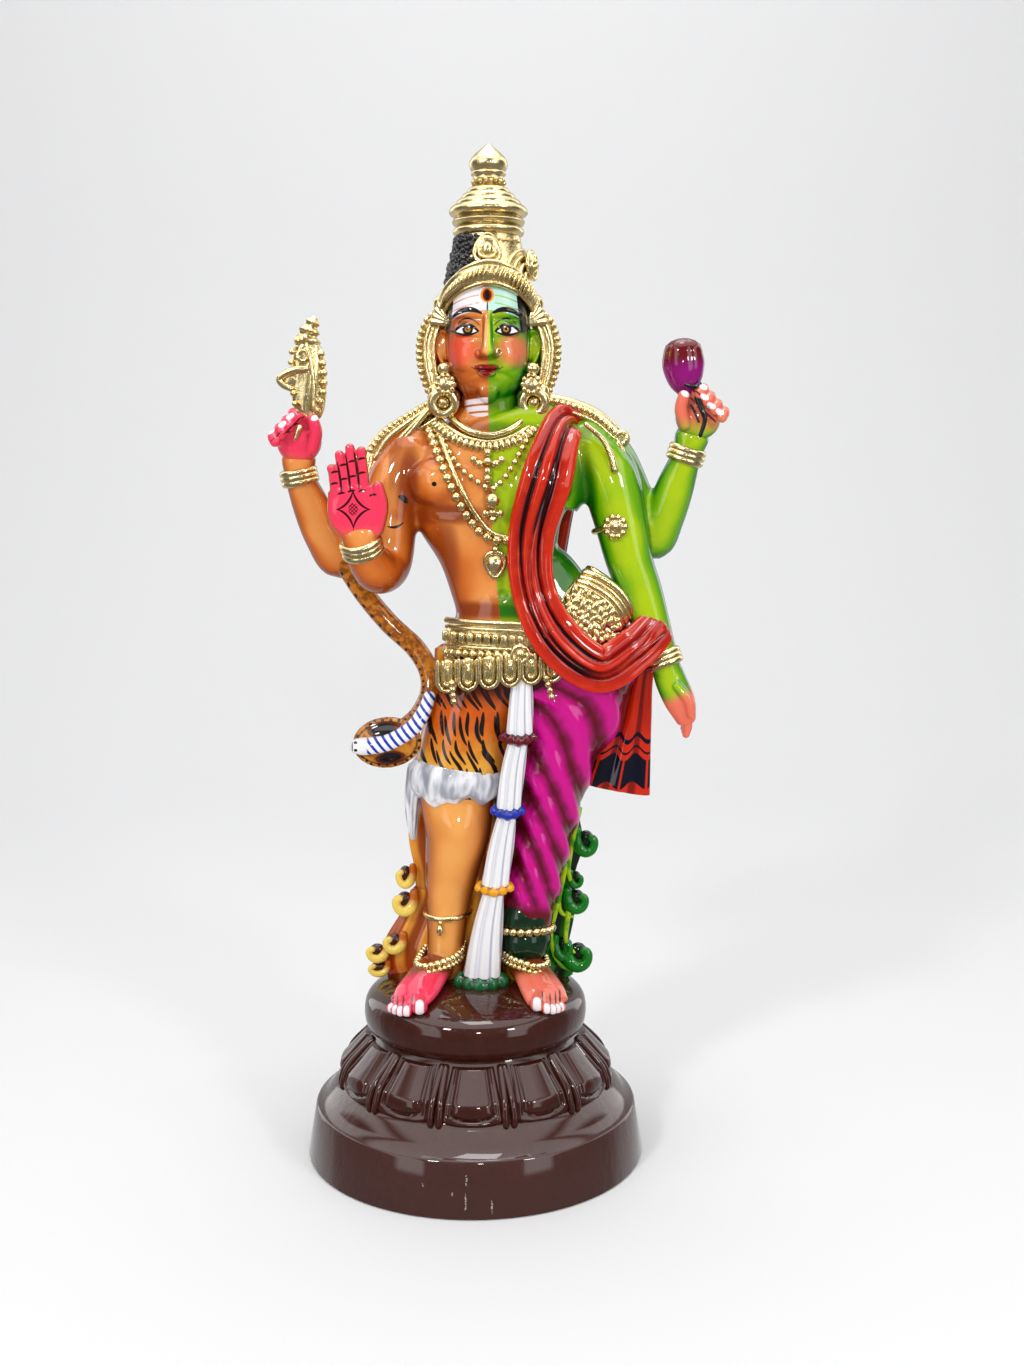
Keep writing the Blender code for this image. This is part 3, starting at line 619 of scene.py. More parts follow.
def new_piece(name, points, faces):
    """An object with that mesh, its faces turned outwards."""
    mesh = bpy.data.meshes.new(name)
    mesh.from_pydata([tuple(p) for p in points], [], faces)
    item = bpy.data.objects.new(name, mesh)
    bpy.context.scene.collection.objects.link(item)
    face_outwards(item)
    return item


def face_outwards(item):
    """Turns the faces of a closed mesh outwards."""
    work = bmesh.new()
    work.from_mesh(item.data)
    bmesh.ops.recalc_face_normals(work, faces=work.faces)
    work.to_mesh(item.data)
    work.free()


def lofted(name, stations, sides=32, per_span=8, depth=FRONT, relief=None, end=0.8):
    """A closed lofted piece with its own map, U round it and V along it, and its relief kept as "fold"."""
    rings = rings_through(stations, sides, per_span, depth, relief, end)
    count = len(rings)
    mesh = bpy.data.meshes.new(name)
    mesh.from_pydata([tuple(p) for p in rings.reshape(-1, 3)], [], ring_faces(0, count, sides))
    layer = mesh.uv_layers.new(name="UVMap")
    ring, step = np.divmod(np.arange((count - 1) * sides), sides)
    corners = [(step, ring), (step + 1, ring), (step + 1, ring + 1), (step, ring + 1)]
    flat = np.stack([np.stack([u / sides, v / (count - 1)], -1) for u, v in corners], 1)
    ends = np.vstack([np.full((sides, 2), (0.5, 0.0)), np.full((sides, 2), (0.5, 1.0))])
    layer.data.foreach_set("uv", np.concatenate([flat.reshape(-1), ends.reshape(-1)]))
    if relief:
        angles = np.arange(sides)[None, :] * 2 * math.pi / sides
        shares = np.linspace(0, 1, count - 8)[:, None]
        out = relief(angles, shares) + 0 * angles + 0 * shares
        level = np.pad(out / np.abs(out).max(), ((4, 4), (0, 0)), mode="edge")
        mesh.attributes.new("fold", "FLOAT", "POINT").data.foreach_set("value", level.ravel())
    item = bpy.data.objects.new(name, mesh)
    bpy.context.scene.collection.objects.link(item)
    face_outwards(item)
    return item


def rod(name, points, radius, sides=12, per_span=6, end_radius=None):
    """A round rod along a smooth path."""
    return lofted(name, rope_stations(points, radius, end_radius), sides, per_span, hint_for(points))


class Clay:
    """Soft closed forms, in doll units, that are pressed together into one skin."""

    def __init__(self):
        self.points = []
        self.faces = []

    def skin(self, rings):
        """Adds one closed form from its rings."""
        rings = np.array(rings)
        self.faces += ring_faces(len(self.points), len(rings), rings.shape[1])
        self.points += [tuple(p) for p in rings.reshape(-1, 3)]

    def loft(self, stations, sides=32, per_span=8, depth=FRONT, relief=None, end=0.8):
        self.skin(rings_through(stations, sides, per_span, depth, relief, end))

    def rope(self, points, radius, end_radius=None):
        """A round rope along a smooth path."""
        self.loft(rope_stations(points, radius, end_radius), 16, 6, hint_for(points))

    def ball(self, centre, half_sizes, turn=0.0, sides=24):
        """An egg shape turned by an angle in the picture plane."""
        cos, sin = math.cos(turn), math.sin(turn)
        up = np.radians(np.linspace(-84, 84, 15))[:, None]
        around = turns(sides)[None, :]
        x = half_sizes[0] * np.cos(up) * np.cos(around)
        y = half_sizes[1] * np.cos(up) * np.sin(around)
        z = half_sizes[2] * np.sin(up) + 0 * around
        self.skin(np.stack([centre[0] + x * cos - z * sin, centre[1] + y, centre[2] + x * sin + z * cos], -1))

    def fused(self, name, voxel, softening=3):
        """One closed skin over all the forms."""
        item = new_piece(name, self.points, self.faces)
        pick(item)
        melt = item.modifiers.new("melt", "REMESH")
        melt.mode = "VOXEL"
        melt.voxel_size = voxel
        bpy.ops.object.modifier_apply(modifier="melt")
        keep_outer_skin(item)
        soften(item, softening)
        return item


def soften(item, rounds):
    """Smooths a skin a little."""
    pick(item)
    smooth = item.modifiers.new("smooth", "SMOOTH")
    smooth.factor = 0.5
    smooth.iterations = rounds
    bpy.ops.object.modifier_apply(modifier="smooth")


def keep_outer_skin(item):
    """Deletes closed pockets inside a fused skin."""
    work = bmesh.new()
    work.from_mesh(item.data)
    unseen = set(work.verts)
    shells = []
    while unseen:
        front = [unseen.pop()]
        shell = list(front)
        while front:
            for edge in front.pop().link_edges:
                for other in edge.verts:
                    if other in unseen:
                        unseen.remove(other)
                        front.append(other)
                        shell.append(other)
        shells.append(shell)
    shells.sort(key=len)
    for shell in shells[:-1]:
        bmesh.ops.delete(work, geom=shell, context="VERTS")
    work.to_mesh(item.data)
    work.free()


def pick(*items):
    """Selects only these objects, the first one active."""
    bpy.ops.object.select_all(action="DESELECT")
    for item in items:
        item.select_set(True)
    bpy.context.view_layer.objects.active = items[0]


def press(item, centre, spread, push):
    """Moves the skin near a point by push, fading out over spread."""
    mesh = item.data
    spots = np.zeros(len(mesh.vertices) * 3)
    mesh.vertices.foreach_get("co", spots)
    spots = spots.reshape(-1, 3)
    away = ((spots - np.array(centre)) / np.array(spread)) ** 2
    weight = np.exp(-away.sum(axis=1))
    spots += weight[:, None] * np.array(push)
    mesh.vertices.foreach_set("co", spots.ravel())
    mesh.update()


def finish(item, material, angle=None):
    """Puts a piece in its place, paints it, hangs it under the root empty and hides the statue that it stands
    in for.
    """
    item.data.transform(item.matrix_world)
    item.matrix_world = Matrix.Identity(4)
    item.data.transform(PLACE)
    item.data.materials.clear()
    item.data.materials.append(material)
    pick(item)
    if angle is None:
        bpy.ops.object.shade_smooth()
    else:
        bpy.ops.object.shade_smooth_by_angle(angle=math.radians(angle))
    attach(item, "root")
    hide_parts("statue")
    return item


def joined(name, items):
    """One object from several."""
    pick(*items)
    bpy.ops.object.join()
    items[0].name = name
    items[0].data.name = name
    return items[0]


def gild(name, parts):
    """Finishes gold parts as one piece."""
    finish(joined(name, parts), gold_paint())


def lump(name, *balls):
    """One object from egg shapes, each given as its centre, half sizes and, where it leans, its turn."""
    clay = Clay()
    for ball in balls:
        clay.ball(*ball)
    return new_piece(name, clay.points, clay.faces)


def copies(name, model, places):
    """One object that holds a copy of the model at each place, given as a matrix."""
    mesh = model.data
    mesh.transform(model.matrix_world)
    spots = np.zeros(len(mesh.vertices) * 3)
    mesh.vertices.foreach_get("co", spots)
    spots = spots.reshape(-1, 3)
    shape = [tuple(face.vertices) for face in mesh.polygons]
    points, faces = [], []
    for place in places:
        start = len(points)
        turn = np.array(place)
        points += [tuple(p) for p in spots @ turn[:3, :3].T + turn[:3, 3]]
        faces += [tuple(start + v for v in face) for face in shape]
    bpy.data.objects.remove(model)
    return new_piece(name, points, faces)


def even_points(points, spacing):
    """Points at even steps along a smooth path."""
    fine = smooth_path(points, 12)
    length = np.concatenate([[0], np.cumsum(np.linalg.norm(np.diff(fine, axis=0), axis=1))])
    count = max(2, int(round(length[-1] / spacing)) + 1)
    wanted = np.linspace(0, length[-1], count)
    return np.stack([np.interp(wanted, length, fine[:, k]) for k in range(3)], -1)


def bead_model(radius, segments=12, rings=8):
    """A round bead at the origin."""
    bpy.ops.mesh.primitive_uv_sphere_add(segments=segments, ring_count=rings, radius=radius)
    return bpy.context.object


def beads_at(name, points, radius, segments=12, rings=8):
    """A bead at each point."""
    return copies(name, bead_model(radius, segments, rings), [Matrix.Translation(p) for p in points])


def bead_string(name, points, radius, gap=1.0):
    """A string of beads along a smooth path."""
    return beads_at(name, even_points(points, radius * 2 * gap), radius)


def turns(count):
    """That many even angles round a full turn."""
    return np.arange(count) * 2 * math.pi / count


def turned(name, profile, steps, centre=(0.0, 0.0)):
    """A turned form: a disc extruded and resized from step to step up a profile of radius and height."""
    (radius, height), rest = profile[0], profile[1:]
    bpy.ops.mesh.primitive_circle_add(
        vertices=steps, radius=radius, fill_type="NGON", location=(*centre, height), enter_editmode=True)
    bpy.ops.mesh.select_all(action="SELECT")
    for next_radius, next_height in rest:
        bpy.ops.mesh.extrude_region_move(TRANSFORM_OT_translate={"value": (0, 0, next_height - height)})
        share = next_radius / radius
        bpy.ops.transform.resize(value=(share, share, 1), center_override=(*centre, 0))
        radius, height = next_radius, next_height
    bpy.ops.mesh.select_all(action="SELECT")
    bpy.ops.mesh.normals_make_consistent(inside=False)
    bpy.ops.object.mode_set(mode="OBJECT")
    item = bpy.context.object
    item.name = name
    return item


def torus(name, centre, axis, radius, thickness, squash=1.0, steps=64):
    """A bangle about an axis; squash flattens it front to back before it is turned."""
    turn = Vector(axis).to_track_quat("Z", "Y").to_euler()
    bpy.ops.mesh.primitive_torus_add(
        major_radius=radius, minor_radius=thickness, major_segments=steps, minor_segments=12,
        location=centre, rotation=turn)
    item = bpy.context.object
    item.scale = (1, squash, 1)
    bpy.ops.object.transform_apply(location=True, rotation=True, scale=True)
    item.name = name
    return item


# The base

NECK_RADIUS = 63.0
LOTUS_RADIUS = 86.0
DISC_RADIUS = 69.0
PLINTH_TOP = 33.0
LOTUS_FOOT = 44.5
LOTUS_TOP = 77.0
DOME_DROP = 9.0
DOME_RADIUS = 0.94 * DISC_RADIUS
TURN_STEPS = 144


def dome_height(x, y):
    """Height of the disc's domed top over a point, in units above the floor."""
    return BASE_UNITS - DOME_DROP * (math.hypot(x, y) / DOME_RADIUS) ** 4


def on_dome(x, y, lift):
    """A point of the figure that many units above the dome."""
    return x, y, dome_height(x, y) - BASE_UNITS + lift


def lotus_slope(share):
    """Radius and height on the lotus ring, from its foot at 0 to the neck at 1."""
    low = (LOTUS_RADIUS - 1.5, LOTUS_FOOT + 1.5)
    mid = (NECK_RADIUS + 0.75 * (LOTUS_RADIUS - NECK_RADIUS), LOTUS_FOOT + 0.45 * (LOTUS_TOP - LOTUS_FOOT))
    top = (NECK_RADIUS + 1.5, LOTUS_TOP - 1)
    radius = np.interp(share, (0, 0.45, 1), (low[0], mid[0], top[0]))
    height = np.interp(share, (0, 0.45, 1), (low[1], mid[1], top[1]))
    return radius, height


def base_brown(tree):
    """Chocolate lacquer, a little lighter and scuffed on the plinth's side."""
    x, y, z = doll_place(tree)
    tone = cloud(tree, 12, 3.0).rise(0.3, 0.75)
    low = ~z.rise(-79, -77)
    brown = mixed(tone * 0.5, colours().base_brown, srgb(72, 34, 24))
    brown = mixed(low * 0.7, brown, srgb(76, 50, 46))
    scuff = any_of(stroke(z, x + cloud(tree, 40, 1.0) * 1.5 - 0.75, centre, half, 0, 0.45) for centre,
                   half in (
        ((-100, -3.5), 5), ((-103, 11.5), 4), ((-88, -3), 3), ((-96, -11), 1.6), ((-92, -28), 1.0)))
    rough = cloud(tree, 120, 3.0).rise(0.42, 0.55)
    return mixed(scuff * rough * ~y.rise(-60, -58) * 0.75, brown, srgb(206, 198, 190))


def base_height(tree):
    """Thick brushed lacquer: long ripples with small pits."""
    return cloud(tree, 16, 2.0, (1, 1, 0.35)) * 2.2 + cloud(tree, 52, 2.0) * 0.7


def base_paint():
    """The brown lacquer of the base."""
    return paint_material("base_gloss_lacquer", base_brown, roughness=0.35, bump=0.5, height=base_height)


def petal_points(across, up):
    """A spot on one petal: across from -1 to 1 and up from 0 at its round foot to 1."""
    half = math.pi / sizes().petals * 0.84
    round_off = 1 - np.clip(np.abs(across), 0, 1) ** 2.6
    drop = 0.15 * (1 - np.sqrt(np.clip(round_off, 0, 1)))
    share = drop + up * (0.99 - drop)
    radius, height = lotus_slope(share)
    edge = np.minimum(np.minimum((1 - np.abs(across)) * 5.0, up * 9.0), 1.0)
    rise = 2.2 * np.clip(edge, 0, 1) ** 0.5
    inner = np.minimum((0.66 - np.abs(across)) * 6.5, (up - 0.19 - 0.14 * np.abs(across) ** 2) * 12.0)
    boss = 1.3 * np.clip(inner, 0, 1) ** 0.7 + 0.5 * np.clip(inner - 1, 0, 1.5) ** 0.5
    groove = 1.5 * np.exp(-((inner + 0.45) / 0.3) ** 2)
    rim = 0.7 * np.exp(-((edge - 0.75) / 0.25) ** 2)
    reach = radius + rise + boss - groove + rim - 0.8
    angle = across * half * (1.05 - 0.18 * up)
    return reach * np.sin(angle), -reach * np.cos(angle), height - 0.5 - rise * 0.2


def lotus_petal():
    """One big petal: a fine grid bent into a round-ended leaf with a raised inner leaf, backed and closed."""
    bpy.ops.mesh.primitive_grid_add(x_subdivisions=40, y_subdivisions=32, size=2)
    item = bpy.context.object
    item.name = "lotus_petal"
    mesh = item.data
    for vert in mesh.vertices:
        x, y, z = petal_points(vert.co.x, (vert.co.y + 1) / 2)
        vert.co = (x, y, z)
    bpy.ops.object.mode_set(mode="EDIT")
    bpy.ops.mesh.select_all(action="DESELECT")
    bpy.ops.mesh.select_mode(type="EDGE")
    bpy.ops.mesh.select_non_manifold()
    bpy.ops.mesh.extrude_region_move(TRANSFORM_OT_translate={"value": (0, 4.0, 0)})
    bpy.ops.mesh.edge_face_add()
    bpy.ops.mesh.select_all(action="SELECT")
    bpy.ops.mesh.normals_make_consistent(inside=False)
    bpy.ops.object.mode_set(mode="OBJECT")
    return item


def filler_leaf():
    """The narrow leaf with two ribs that shows between two petals."""
    parts = []
    for side in (-1, 1):
        spots = []
        for share, out, wide in ((0.02, 1.5, 2.4), (0.2, 2.4, 2.9), (0.5, 1.8, 2.2), (0.95, 0.6, 1.2)):
            radius, height = lotus_slope(share)
            spots.append((side * wide, -(radius + out - 1.4), height, 2.1, 2.2))
        parts.append(lofted("leaf_rib", spots, 12, 5))
    return joined("filler_leaf", parts)


class DOLL_OT_base(bpy.types.Operator):
    """The round plinth, the ring of lotus petals and the domed disc"""

    bl_idname = "doll.base"
    bl_label = "Lotus base"

    def execute(self, context):
        radius = sizes().plinth_radius
        foot = [(radius - 1.2, 0.0), (radius - 0.3, 0.3), (radius - 0.1, 1.2), (radius - 4.9, 30.6)]
        foot += [(radius - 5.4, 31.8), (radius - 6.4, 32.7), (radius - 7.6, PLINTH_TOP)]
        foot += [(92, 38.0), (LOTUS_RADIUS + 1.5, LOTUS_FOOT - 0.6), (LOTUS_RADIUS, LOTUS_FOOT + 0.4)]
        lotus = [(lotus_slope(s)[0] - 0.8, lotus_slope(s)[1]) for s in (0.05, 0.2, 0.45, 0.7, 0.9, 1.0)]
        rim = [(NECK_RADIUS, LOTUS_TOP), (NECK_RADIUS + 0.6, LOTUS_TOP + 1.4), (66.6, LOTUS_TOP + 3.4),
               (68.3, LOTUS_TOP + 6.5), (DISC_RADIUS, LOTUS_TOP + 11), (68.9, LOTUS_TOP + 15),
               (68.2, LOTUS_TOP + 19), (66.9, LOTUS_TOP + 21.6)]
        dome = [(r, dome_height(r, 0)) for r in (64.6, 60, 54, 46, 36, 24, 12, 1.0)]
        item = turned("lotus_base", foot + lotus + rim + dome, TURN_STEPS)
        item.data.transform(item.matrix_world)
        item.matrix_world = Matrix.Identity(4)
        lower = Matrix.Translation((0, 0, -BASE_UNITS))
        item.data.transform(lower)
        finish(item, base_paint(), angle=40)
        count = sizes().petals
        turns = [Matrix.Rotation(2 * math.pi * k / count, 4, "Z") for k in range(count)]
        petals = copies("lotus_petals", lotus_petal(), [lower @ t for t in turns])
        finish(petals, base_paint(), angle=60)
        fillers = copies("filler_leaves", filler_leaf(), [
            lower @ Matrix.Rotation(2 * math.pi * (k + 0.5) / count, 4, "Z") for k in range(count)])
        finish(fillers, base_paint(), angle=60)
        return {"FINISHED"}


# The trunk and the arms

TRUNK = [
    (9, 2, 350, 18, 14), (9.5, 3, 343, 28, 16), (12, 2, 335, 45, 20), (14, 1, 322, 56, 23),
    (14, 1, 310, 57, 26), (12, 0, 298, 53, 27), (11, 0, 286, 47, 26), (14, 0, 268, 38, 23),
    (18, 0, 252, 35, 22), (26, 0, 236, 42, 24), (34, 0, 210, 52, 26), (32, 0, 185, 48, 26),
]


def on_trunk(x, z, lift):
    """A point that many units in front of the trunk, at a place across and a height."""
    heights = [row[2] for row in TRUNK[::-1]]
    middle, back, half_width, half_depth = (
        np.interp(z, heights, [row[k] for row in TRUNK[::-1]]) for k in (0, 1, 3, 4))
    inside = max(0.0, 1 - ((x - middle) / half_width) ** 2)
    swell = 0.0
    for cx, cz, rx, rz, out in ((-17, 304, 22, 15, 4.0), (38, 302, 20, 17, 7.0)):
        swell += out * math.exp(-((x - cx) / rx) ** 2 - ((z - cz) / rz) ** 2)
    return x, back - half_depth * math.sqrt(inside) - swell - lift, z


RAISED_RIGHT = [
    (-32, 7, 327, 17, 15), (-49, 11, 317, 17, 15), (-66, 16, 292, 14.5, 14), (-81, 15, 259, 13, 13),
    (-91, 9, 272, 12.4, 12), (-99, 4, 292, 11, 10.5), (-104, 0, 307, 9, 9), (-104.5, -2, 318, 10.5, 8),
]
RAISED_LEFT = [
    (64, 7, 329, 17, 15), (81, 10, 317, 16.5, 15), (96, 13, 292, 14, 14), (108, 12, 270, 13, 13),
    (115, 7, 284, 12.4, 12), (121, 3, 302, 11.4, 10.5), (127, 0, 320, 9, 9), (130, -2, 331, 10.5, 8),
]
BLESSING = [
    (-36, 3, 320, 17, 16), (-47, 1, 304, 17, 17), (-50, -2, 280, 16, 16), (-52, -7, 257, 15, 15),
    (-56, -19, 252, 13.5, 14), (-61, -29, 259, 12, 12), (-64, -36, 268, 10.5, 9.5), (-65, -38, 276, 12, 8),
]
HANGING = [
    (68, 4, 322, 17, 16), (80, 1, 308, 17.5, 17), (87, -2, 284, 16, 16), (93, -5, 258, 14.2, 14),
    (100, -7, 239, 13, 13), (107, -9, 217, 11.4, 11.4), (114.6, -11, 196, 9, 9), (119, -12, 184, 9, 7.5),
]


class DOLL_OT_trunk(bpy.types.Operator):
    """Chest, belly and the four arms, fused in one skin"""

    bl_idname = "doll.trunk"
    bl_label = "Trunk and arms"

    def execute(self, context):
        clay = Clay()
        clay.loft(TRUNK, sides=64, per_span=8)
        clay.ball((-17, -13, 304), (22, 14, 16))
        clay.ball((38, -14, 302), (20, 16, 17))
        for stations in (RAISED_RIGHT, RAISED_LEFT, BLESSING, HANGING):
            clay.loft(stations, sides=40, per_span=8)
        item = clay.fused("trunk_and_arms", sizes().skin_voxel, 6)
        press(item, (17, -24, 238), (3, 6, 2.6), (0, 3, 0))
        press(item, (-18, -26, 287), (17, 8, 3), (0, 2.4, 0))
        press(item, (-30, -10, 300), (3, 14, 14), (0, 2.0, 0))
        finish(item, skin_paint())
        return {"FINISHED"}


# The head

def face_clay():
    """Skull, cheeks, brow, nose, lips, chin and ears as one lump of clay."""
    clay = Clay()
    clay.loft([(9, 3, 326, 19, 15), (9.5, 2, 338, 18, 15), (9.2, 1, 350, 17.6, 15), (9, 1, 362, 17.2, 15)])

    def fuller(angle, share):
        return 1.3 * np.sin(2 * angle) ** 2 * (np.sin(angle) < 0) + 0 * share
    clay.loft([
        (8.9, -17, 355.2, 6, 6), (8.9, -15.4, 357.0, 12, 12), (8.8, -13.4, 359.6, 16.6, 15.4),
        (8.8, -11.0, 364, 20.4, 18.2), (8.7, -9, 369, 22.6, 20.6),
        (8.7, -7.4, 377, 24, 22.8), (8.6, -6, 385, 24.4, 24.4), (8.6, -5, 393, 24.6, 25.4),
        (8.6, -4, 402, 24.2, 25.8), (8.8, -2, 412, 23.4, 25), (9, 0, 421, 21, 22.5),
    ], sides=64, relief=fuller)
    clay.loft([(8.8, -29.2, 399, 2.6, 2.6), (8.8, -31.2, 391, 2.5, 3.2), (8.8, -33.2, 384, 3.2, 4.0),
               (8.8, -34.4, 379, 4.0, 3.8)], sides=20, end=0.9)
    clay.ball((8.8, -34.2, 378.0), (4.6, 4.2, 3.6))
    for side in (-1, 1):
        clay.ball((8.8 + side * 4.7, -31.0, 377.2), (2.8, 3.2, 2.4))
        clay.ball((8.5 + side * 9.0, -14.0, 376.5), (12.5, 15.0, 14))
        clay.ball((8.4 + side * 11.4, -25.0, 391.0), (7.8, 5.6, 5.0))
        clay.ball((8.6 + side * 10.5, -24.6, 400.5), (11, 4.4, 3.2), turn=-side * 0.1)
        clay.ball((8.4 + side * 2.4, -28.6, 369.2), (4.6, 3.8, 1.9))
        ear(clay, side)
    clay.ball((8.4, -28.4, 365.9), (5.6, 4.2, 2.3))
    return clay


def ear(clay, side):
    """A long ear with its rolled rim."""
    mid = 8.7 + side * 26.4
    clay.ball((mid, -1.5, 382), (4.8, 4.5, 10.5), turn=side * 0.12)
    rim = [(0.4, -5.4, -8), (3.0, -4.6, -2), (4.2, -3.6, 5), (2.6, -3.6, 9.6), (-0.6, -4.6, 10.4),
           (-2.4, -5.6, 7)]
    clay.rope([(mid + side * x, y, 382 + z) for x, y, z in rim], 1.6, 1.2)


class DOLL_OT_head(bpy.types.Operator):
    """Neck, face and ears, with the painted eyes, brows and lips, and the nose ring"""

    bl_idname = "doll.head"
    bl_label = "Head"

    def execute(self, context):
        item = face_clay().fused("head", sizes().face_voxel, 13)
        press(item, (8.4, -33, 367.7), (6.4, 3, 0.8), (0, 1.4, 0))
        for side in (-1, 1):
            press(item, (8.8 + side * 3.0, -34, 374.8), (1.0, 2, 0.8), (0, 1.0, 0.4))
            press(item, (8.4 + side * 11.4, -30, 396.6), (8, 4, 1.2), (0, 1.4, 0))
            press(item, (8.4 + side * 11.4, -30, 386.2), (7, 4, 1.2), (0, 1.0, 0))
        finish(item, face_paint())
        finish(torus("nose_ring", (15.2, -33.4, 377.6), (0.7, -0.7, 0.1), 1.7, 0.7, 1.0, 24),
               gold_paint())
        return {"FINISHED"}


# The hands

def palm_frame(clay, palm, side):
    """A hand folded round the stem that it holds."""
    clay.ball(palm, (13.5, 8, 13), turn=-side * 0.35)
    for k in range(4):
        out, up = side * (2 + 4.44 * k), 17 - 4.6 * k
        root = (palm[0] - side * 9 + out * 0.9, palm[1] - 1, palm[2] + up * 0.9 - 6)
        knuckle = (palm[0] + out * 0.9, palm[1] - 9, palm[2] + up * 0.95)
        tip = (palm[0] + out - side * 3, palm[1] - 13.0, palm[2] + up - 4.0)
        clay.rope([root, knuckle, tip], 3.6, 3.1)
    thumb = [(-8, -4, -4), (-11, -8, 5), (-9.5, -10, 13)]
    clay.rope([(palm[0] + side * x, palm[1] + y, palm[2] + z) for x, y, z in thumb], 4.4, 3.4)


def hand_colour(tree, side):
    """Skin that turns to the palm's paint in front."""
    x, y, z = doll_place(tree)
    normal = facing(tree)
    paints = colours()
    heights = (316, 326) if side < 0 else (334, 346)
    tint = (normal[1] * -1).rise(-0.1, 0.6) * (z + cloud(tree, 8) * 6).rise(*heights)
    return mixed(tint, skin_colour(tree), paints.rose if side < 0 else paints.salmon)


NAILS_RIGHT = [(-104.4, 349.3), (-106.6, 342.3), (-111.3, 337.7), (-118.7, 333.8), (-92.2, 341.5)]
NAILS_LEFT = [(134.3, 359.2), (134.8, 353.3), (138.9, 348.2), (143.9, 344.8), (123.9, 355.2)]


def closed_hand_paint(side):
    """Lacquer of a raised hand."""
    nails = NAILS_RIGHT if side < 0 else NAILS_LEFT

    def colour(tree):
        x, y, z = doll_place(tree)
        front = ~y.rise(-12, -10)
        skin = hand_colour(tree, side)
        white = any_of(oval(x, z, nail, (2.7, 1.7), turn=-side * 0.5) for nail in nails)
        lines = any_of(stroke(x, z, (across - side * 4, up - 3.0), 5.0, 0, 0.5, turn=-side * 0.75)
                       for across, up in nails[:4])
        skin = mixed(lines * front, skin, srgb(90, 6, 22))
        return mixed(white * front, skin, srgb(248, 244, 250))
    return paint_material("right_fist_lacquer" if side < 0 else "left_fist_lacquer", colour, bump=0.15)


def blessing_colour(tree):
    """Rose palm with dark finger lines and a four-pointed star."""
    x, y, z = doll_place(tree)
    normal = facing(tree)
    colour = skin_colour(tree)
    tint = (normal[1] * -1).rise(0.2, 0.95) * (z + cloud(tree, 9) * 5).rise(266, 283)
    colour = mixed(tint, colour, colours().rose)
    lines = [stroke(z, x + (z - cz) * 0.12, (cz, cx), half, 0.3, 0.75)
             for cx, cz, half in ((-75.4, 306.5, 9), (-70.6, 309, 11), (-65.6, 310.5, 11))]
    lines += [stroke(x, z, crease, 2.3, 0.35, 0.65, turn=0.2) for crease in (
        (-78.5, 303), (-78, 309.5), (-73, 305.5), (-73, 313.5), (-68, 307), (-68, 315.5),
        (-62.6, 309), (-62.6, 317), (-74.5, 297.5), (-68.6, 298.8), (-62.6, 299), (-56.5, 296.5))]
    star_x, star_z = x + 67.8, z - 288.6
    reach = (abs(star_x) / 9.6).run("POWER", 0.66) + (abs(star_z) / 11).run("POWER", 0.66)
    star = reach.within(0.90, 1.08, 0.03)
    hatch = any_of([((star_x + star_z) * 3.0).wave().rise(0.3, 0.7),
                    ((star_x - star_z) * 3.0).wave().rise(0.3, 0.7)])
    patch = oval(star_x, star_z, (0, 0), (2.8, 3.6), soft=0.1)
    marks = any_of([*lines, star, hatch * patch]) * (normal[1] * -1).rise(0.2, 0.4)
    return mixed(marks, colour, srgb(56, 2, 12))


def blessing_hand():
    """The front right hand, raised with its palm to the front."""
    clay = Clay()
    clay.loft([(-64.3, -37.5, 268, 10, 7), (-65, -38, 275, 12, 7), (-66.5, -40, 285, 16.4, 7),
               (-67.5, -40.5, 299, 15.4, 5.4)])
    tips = [(-80.3, 314.8), (-75.6, 322.6), (-69.6, 326.5), (-63, 324.9)]
    for k, (x, z) in enumerate(tips):
        root = -77.6 + k * 5.6
        clay.rope([(root, -41, 292), ((root + x) / 2, -43, 308), (x + 0.2, -45, z - 2.8)], 3.3, 2.7)
    clay.rope([(-56, -39, 277), (-52, -41.5, 290), (-53.6, -44, 302)], 5.2, 3.2)
    item = clay.fused("blessing_hand", sizes().hand_voxel, 3)
    press(item, (-67, -48, 287), (9, 6, 8), (0, 1.6, 0))
    finish(item, paint_material("blessing_hand_lacquer", blessing_colour, bump=0.15))


def hanging_hand():
    """The front left hand, hanging with its fingers curled."""
    clay = Clay()
    clay.loft([(116, -11, 192, 9, 8), (119, -12, 184, 9.4, 8), (124, -12.5, 173, 9.2, 7.5),
               (127.5, -12.5, 163, 6.4, 5.6)])
    for k in range(3):
        drop = 1.5 * k
        clay.rope([(124 + 1.4 * k, -14 + 3 * k, 168), (128.6, -13.5 + 3 * k, 160),
                   (127.6 - 0.4 * k, -13 + 2.6 * k, 153 + drop)], 3.3, 2.3)
    clay.rope([(121, -18, 184), (128, -20.5, 175), (130, -20, 166)], 3.8, 2.6)

    def colour(tree):
        x, _, z = doll_place(tree)
        skin = skin_colour(tree)
        tint = (x * 0.5 - z + cloud(tree, 8) * 8).rise(-118, -108)
        return mixed(tint, skin, colours().salmon)
    item = clay.fused("hanging_hand", sizes().hand_voxel, 3)
    finish(item, paint_material("hanging_hand_lacquer", colour, bump=0.15))


class DOLL_OT_hands(bpy.types.Operator):
    """The two closed hands, the blessing hand and the hanging hand"""

    bl_idname = "doll.hands"
    bl_label = "Hands"

    def execute(self, context):
        for name, palm, side in (("back_right_hand", (-103.5, -5, 328), -1),
                                 ("back_left_hand", (133, -5, 342), 1)):
            clay = Clay()
            palm_frame(clay, palm, side)
            finish(clay.fused(name, sizes().hand_voxel, 3), closed_hand_paint(side))
        blessing_hand()
        hanging_hand()
        return {"FINISHED"}


# The legs and feet

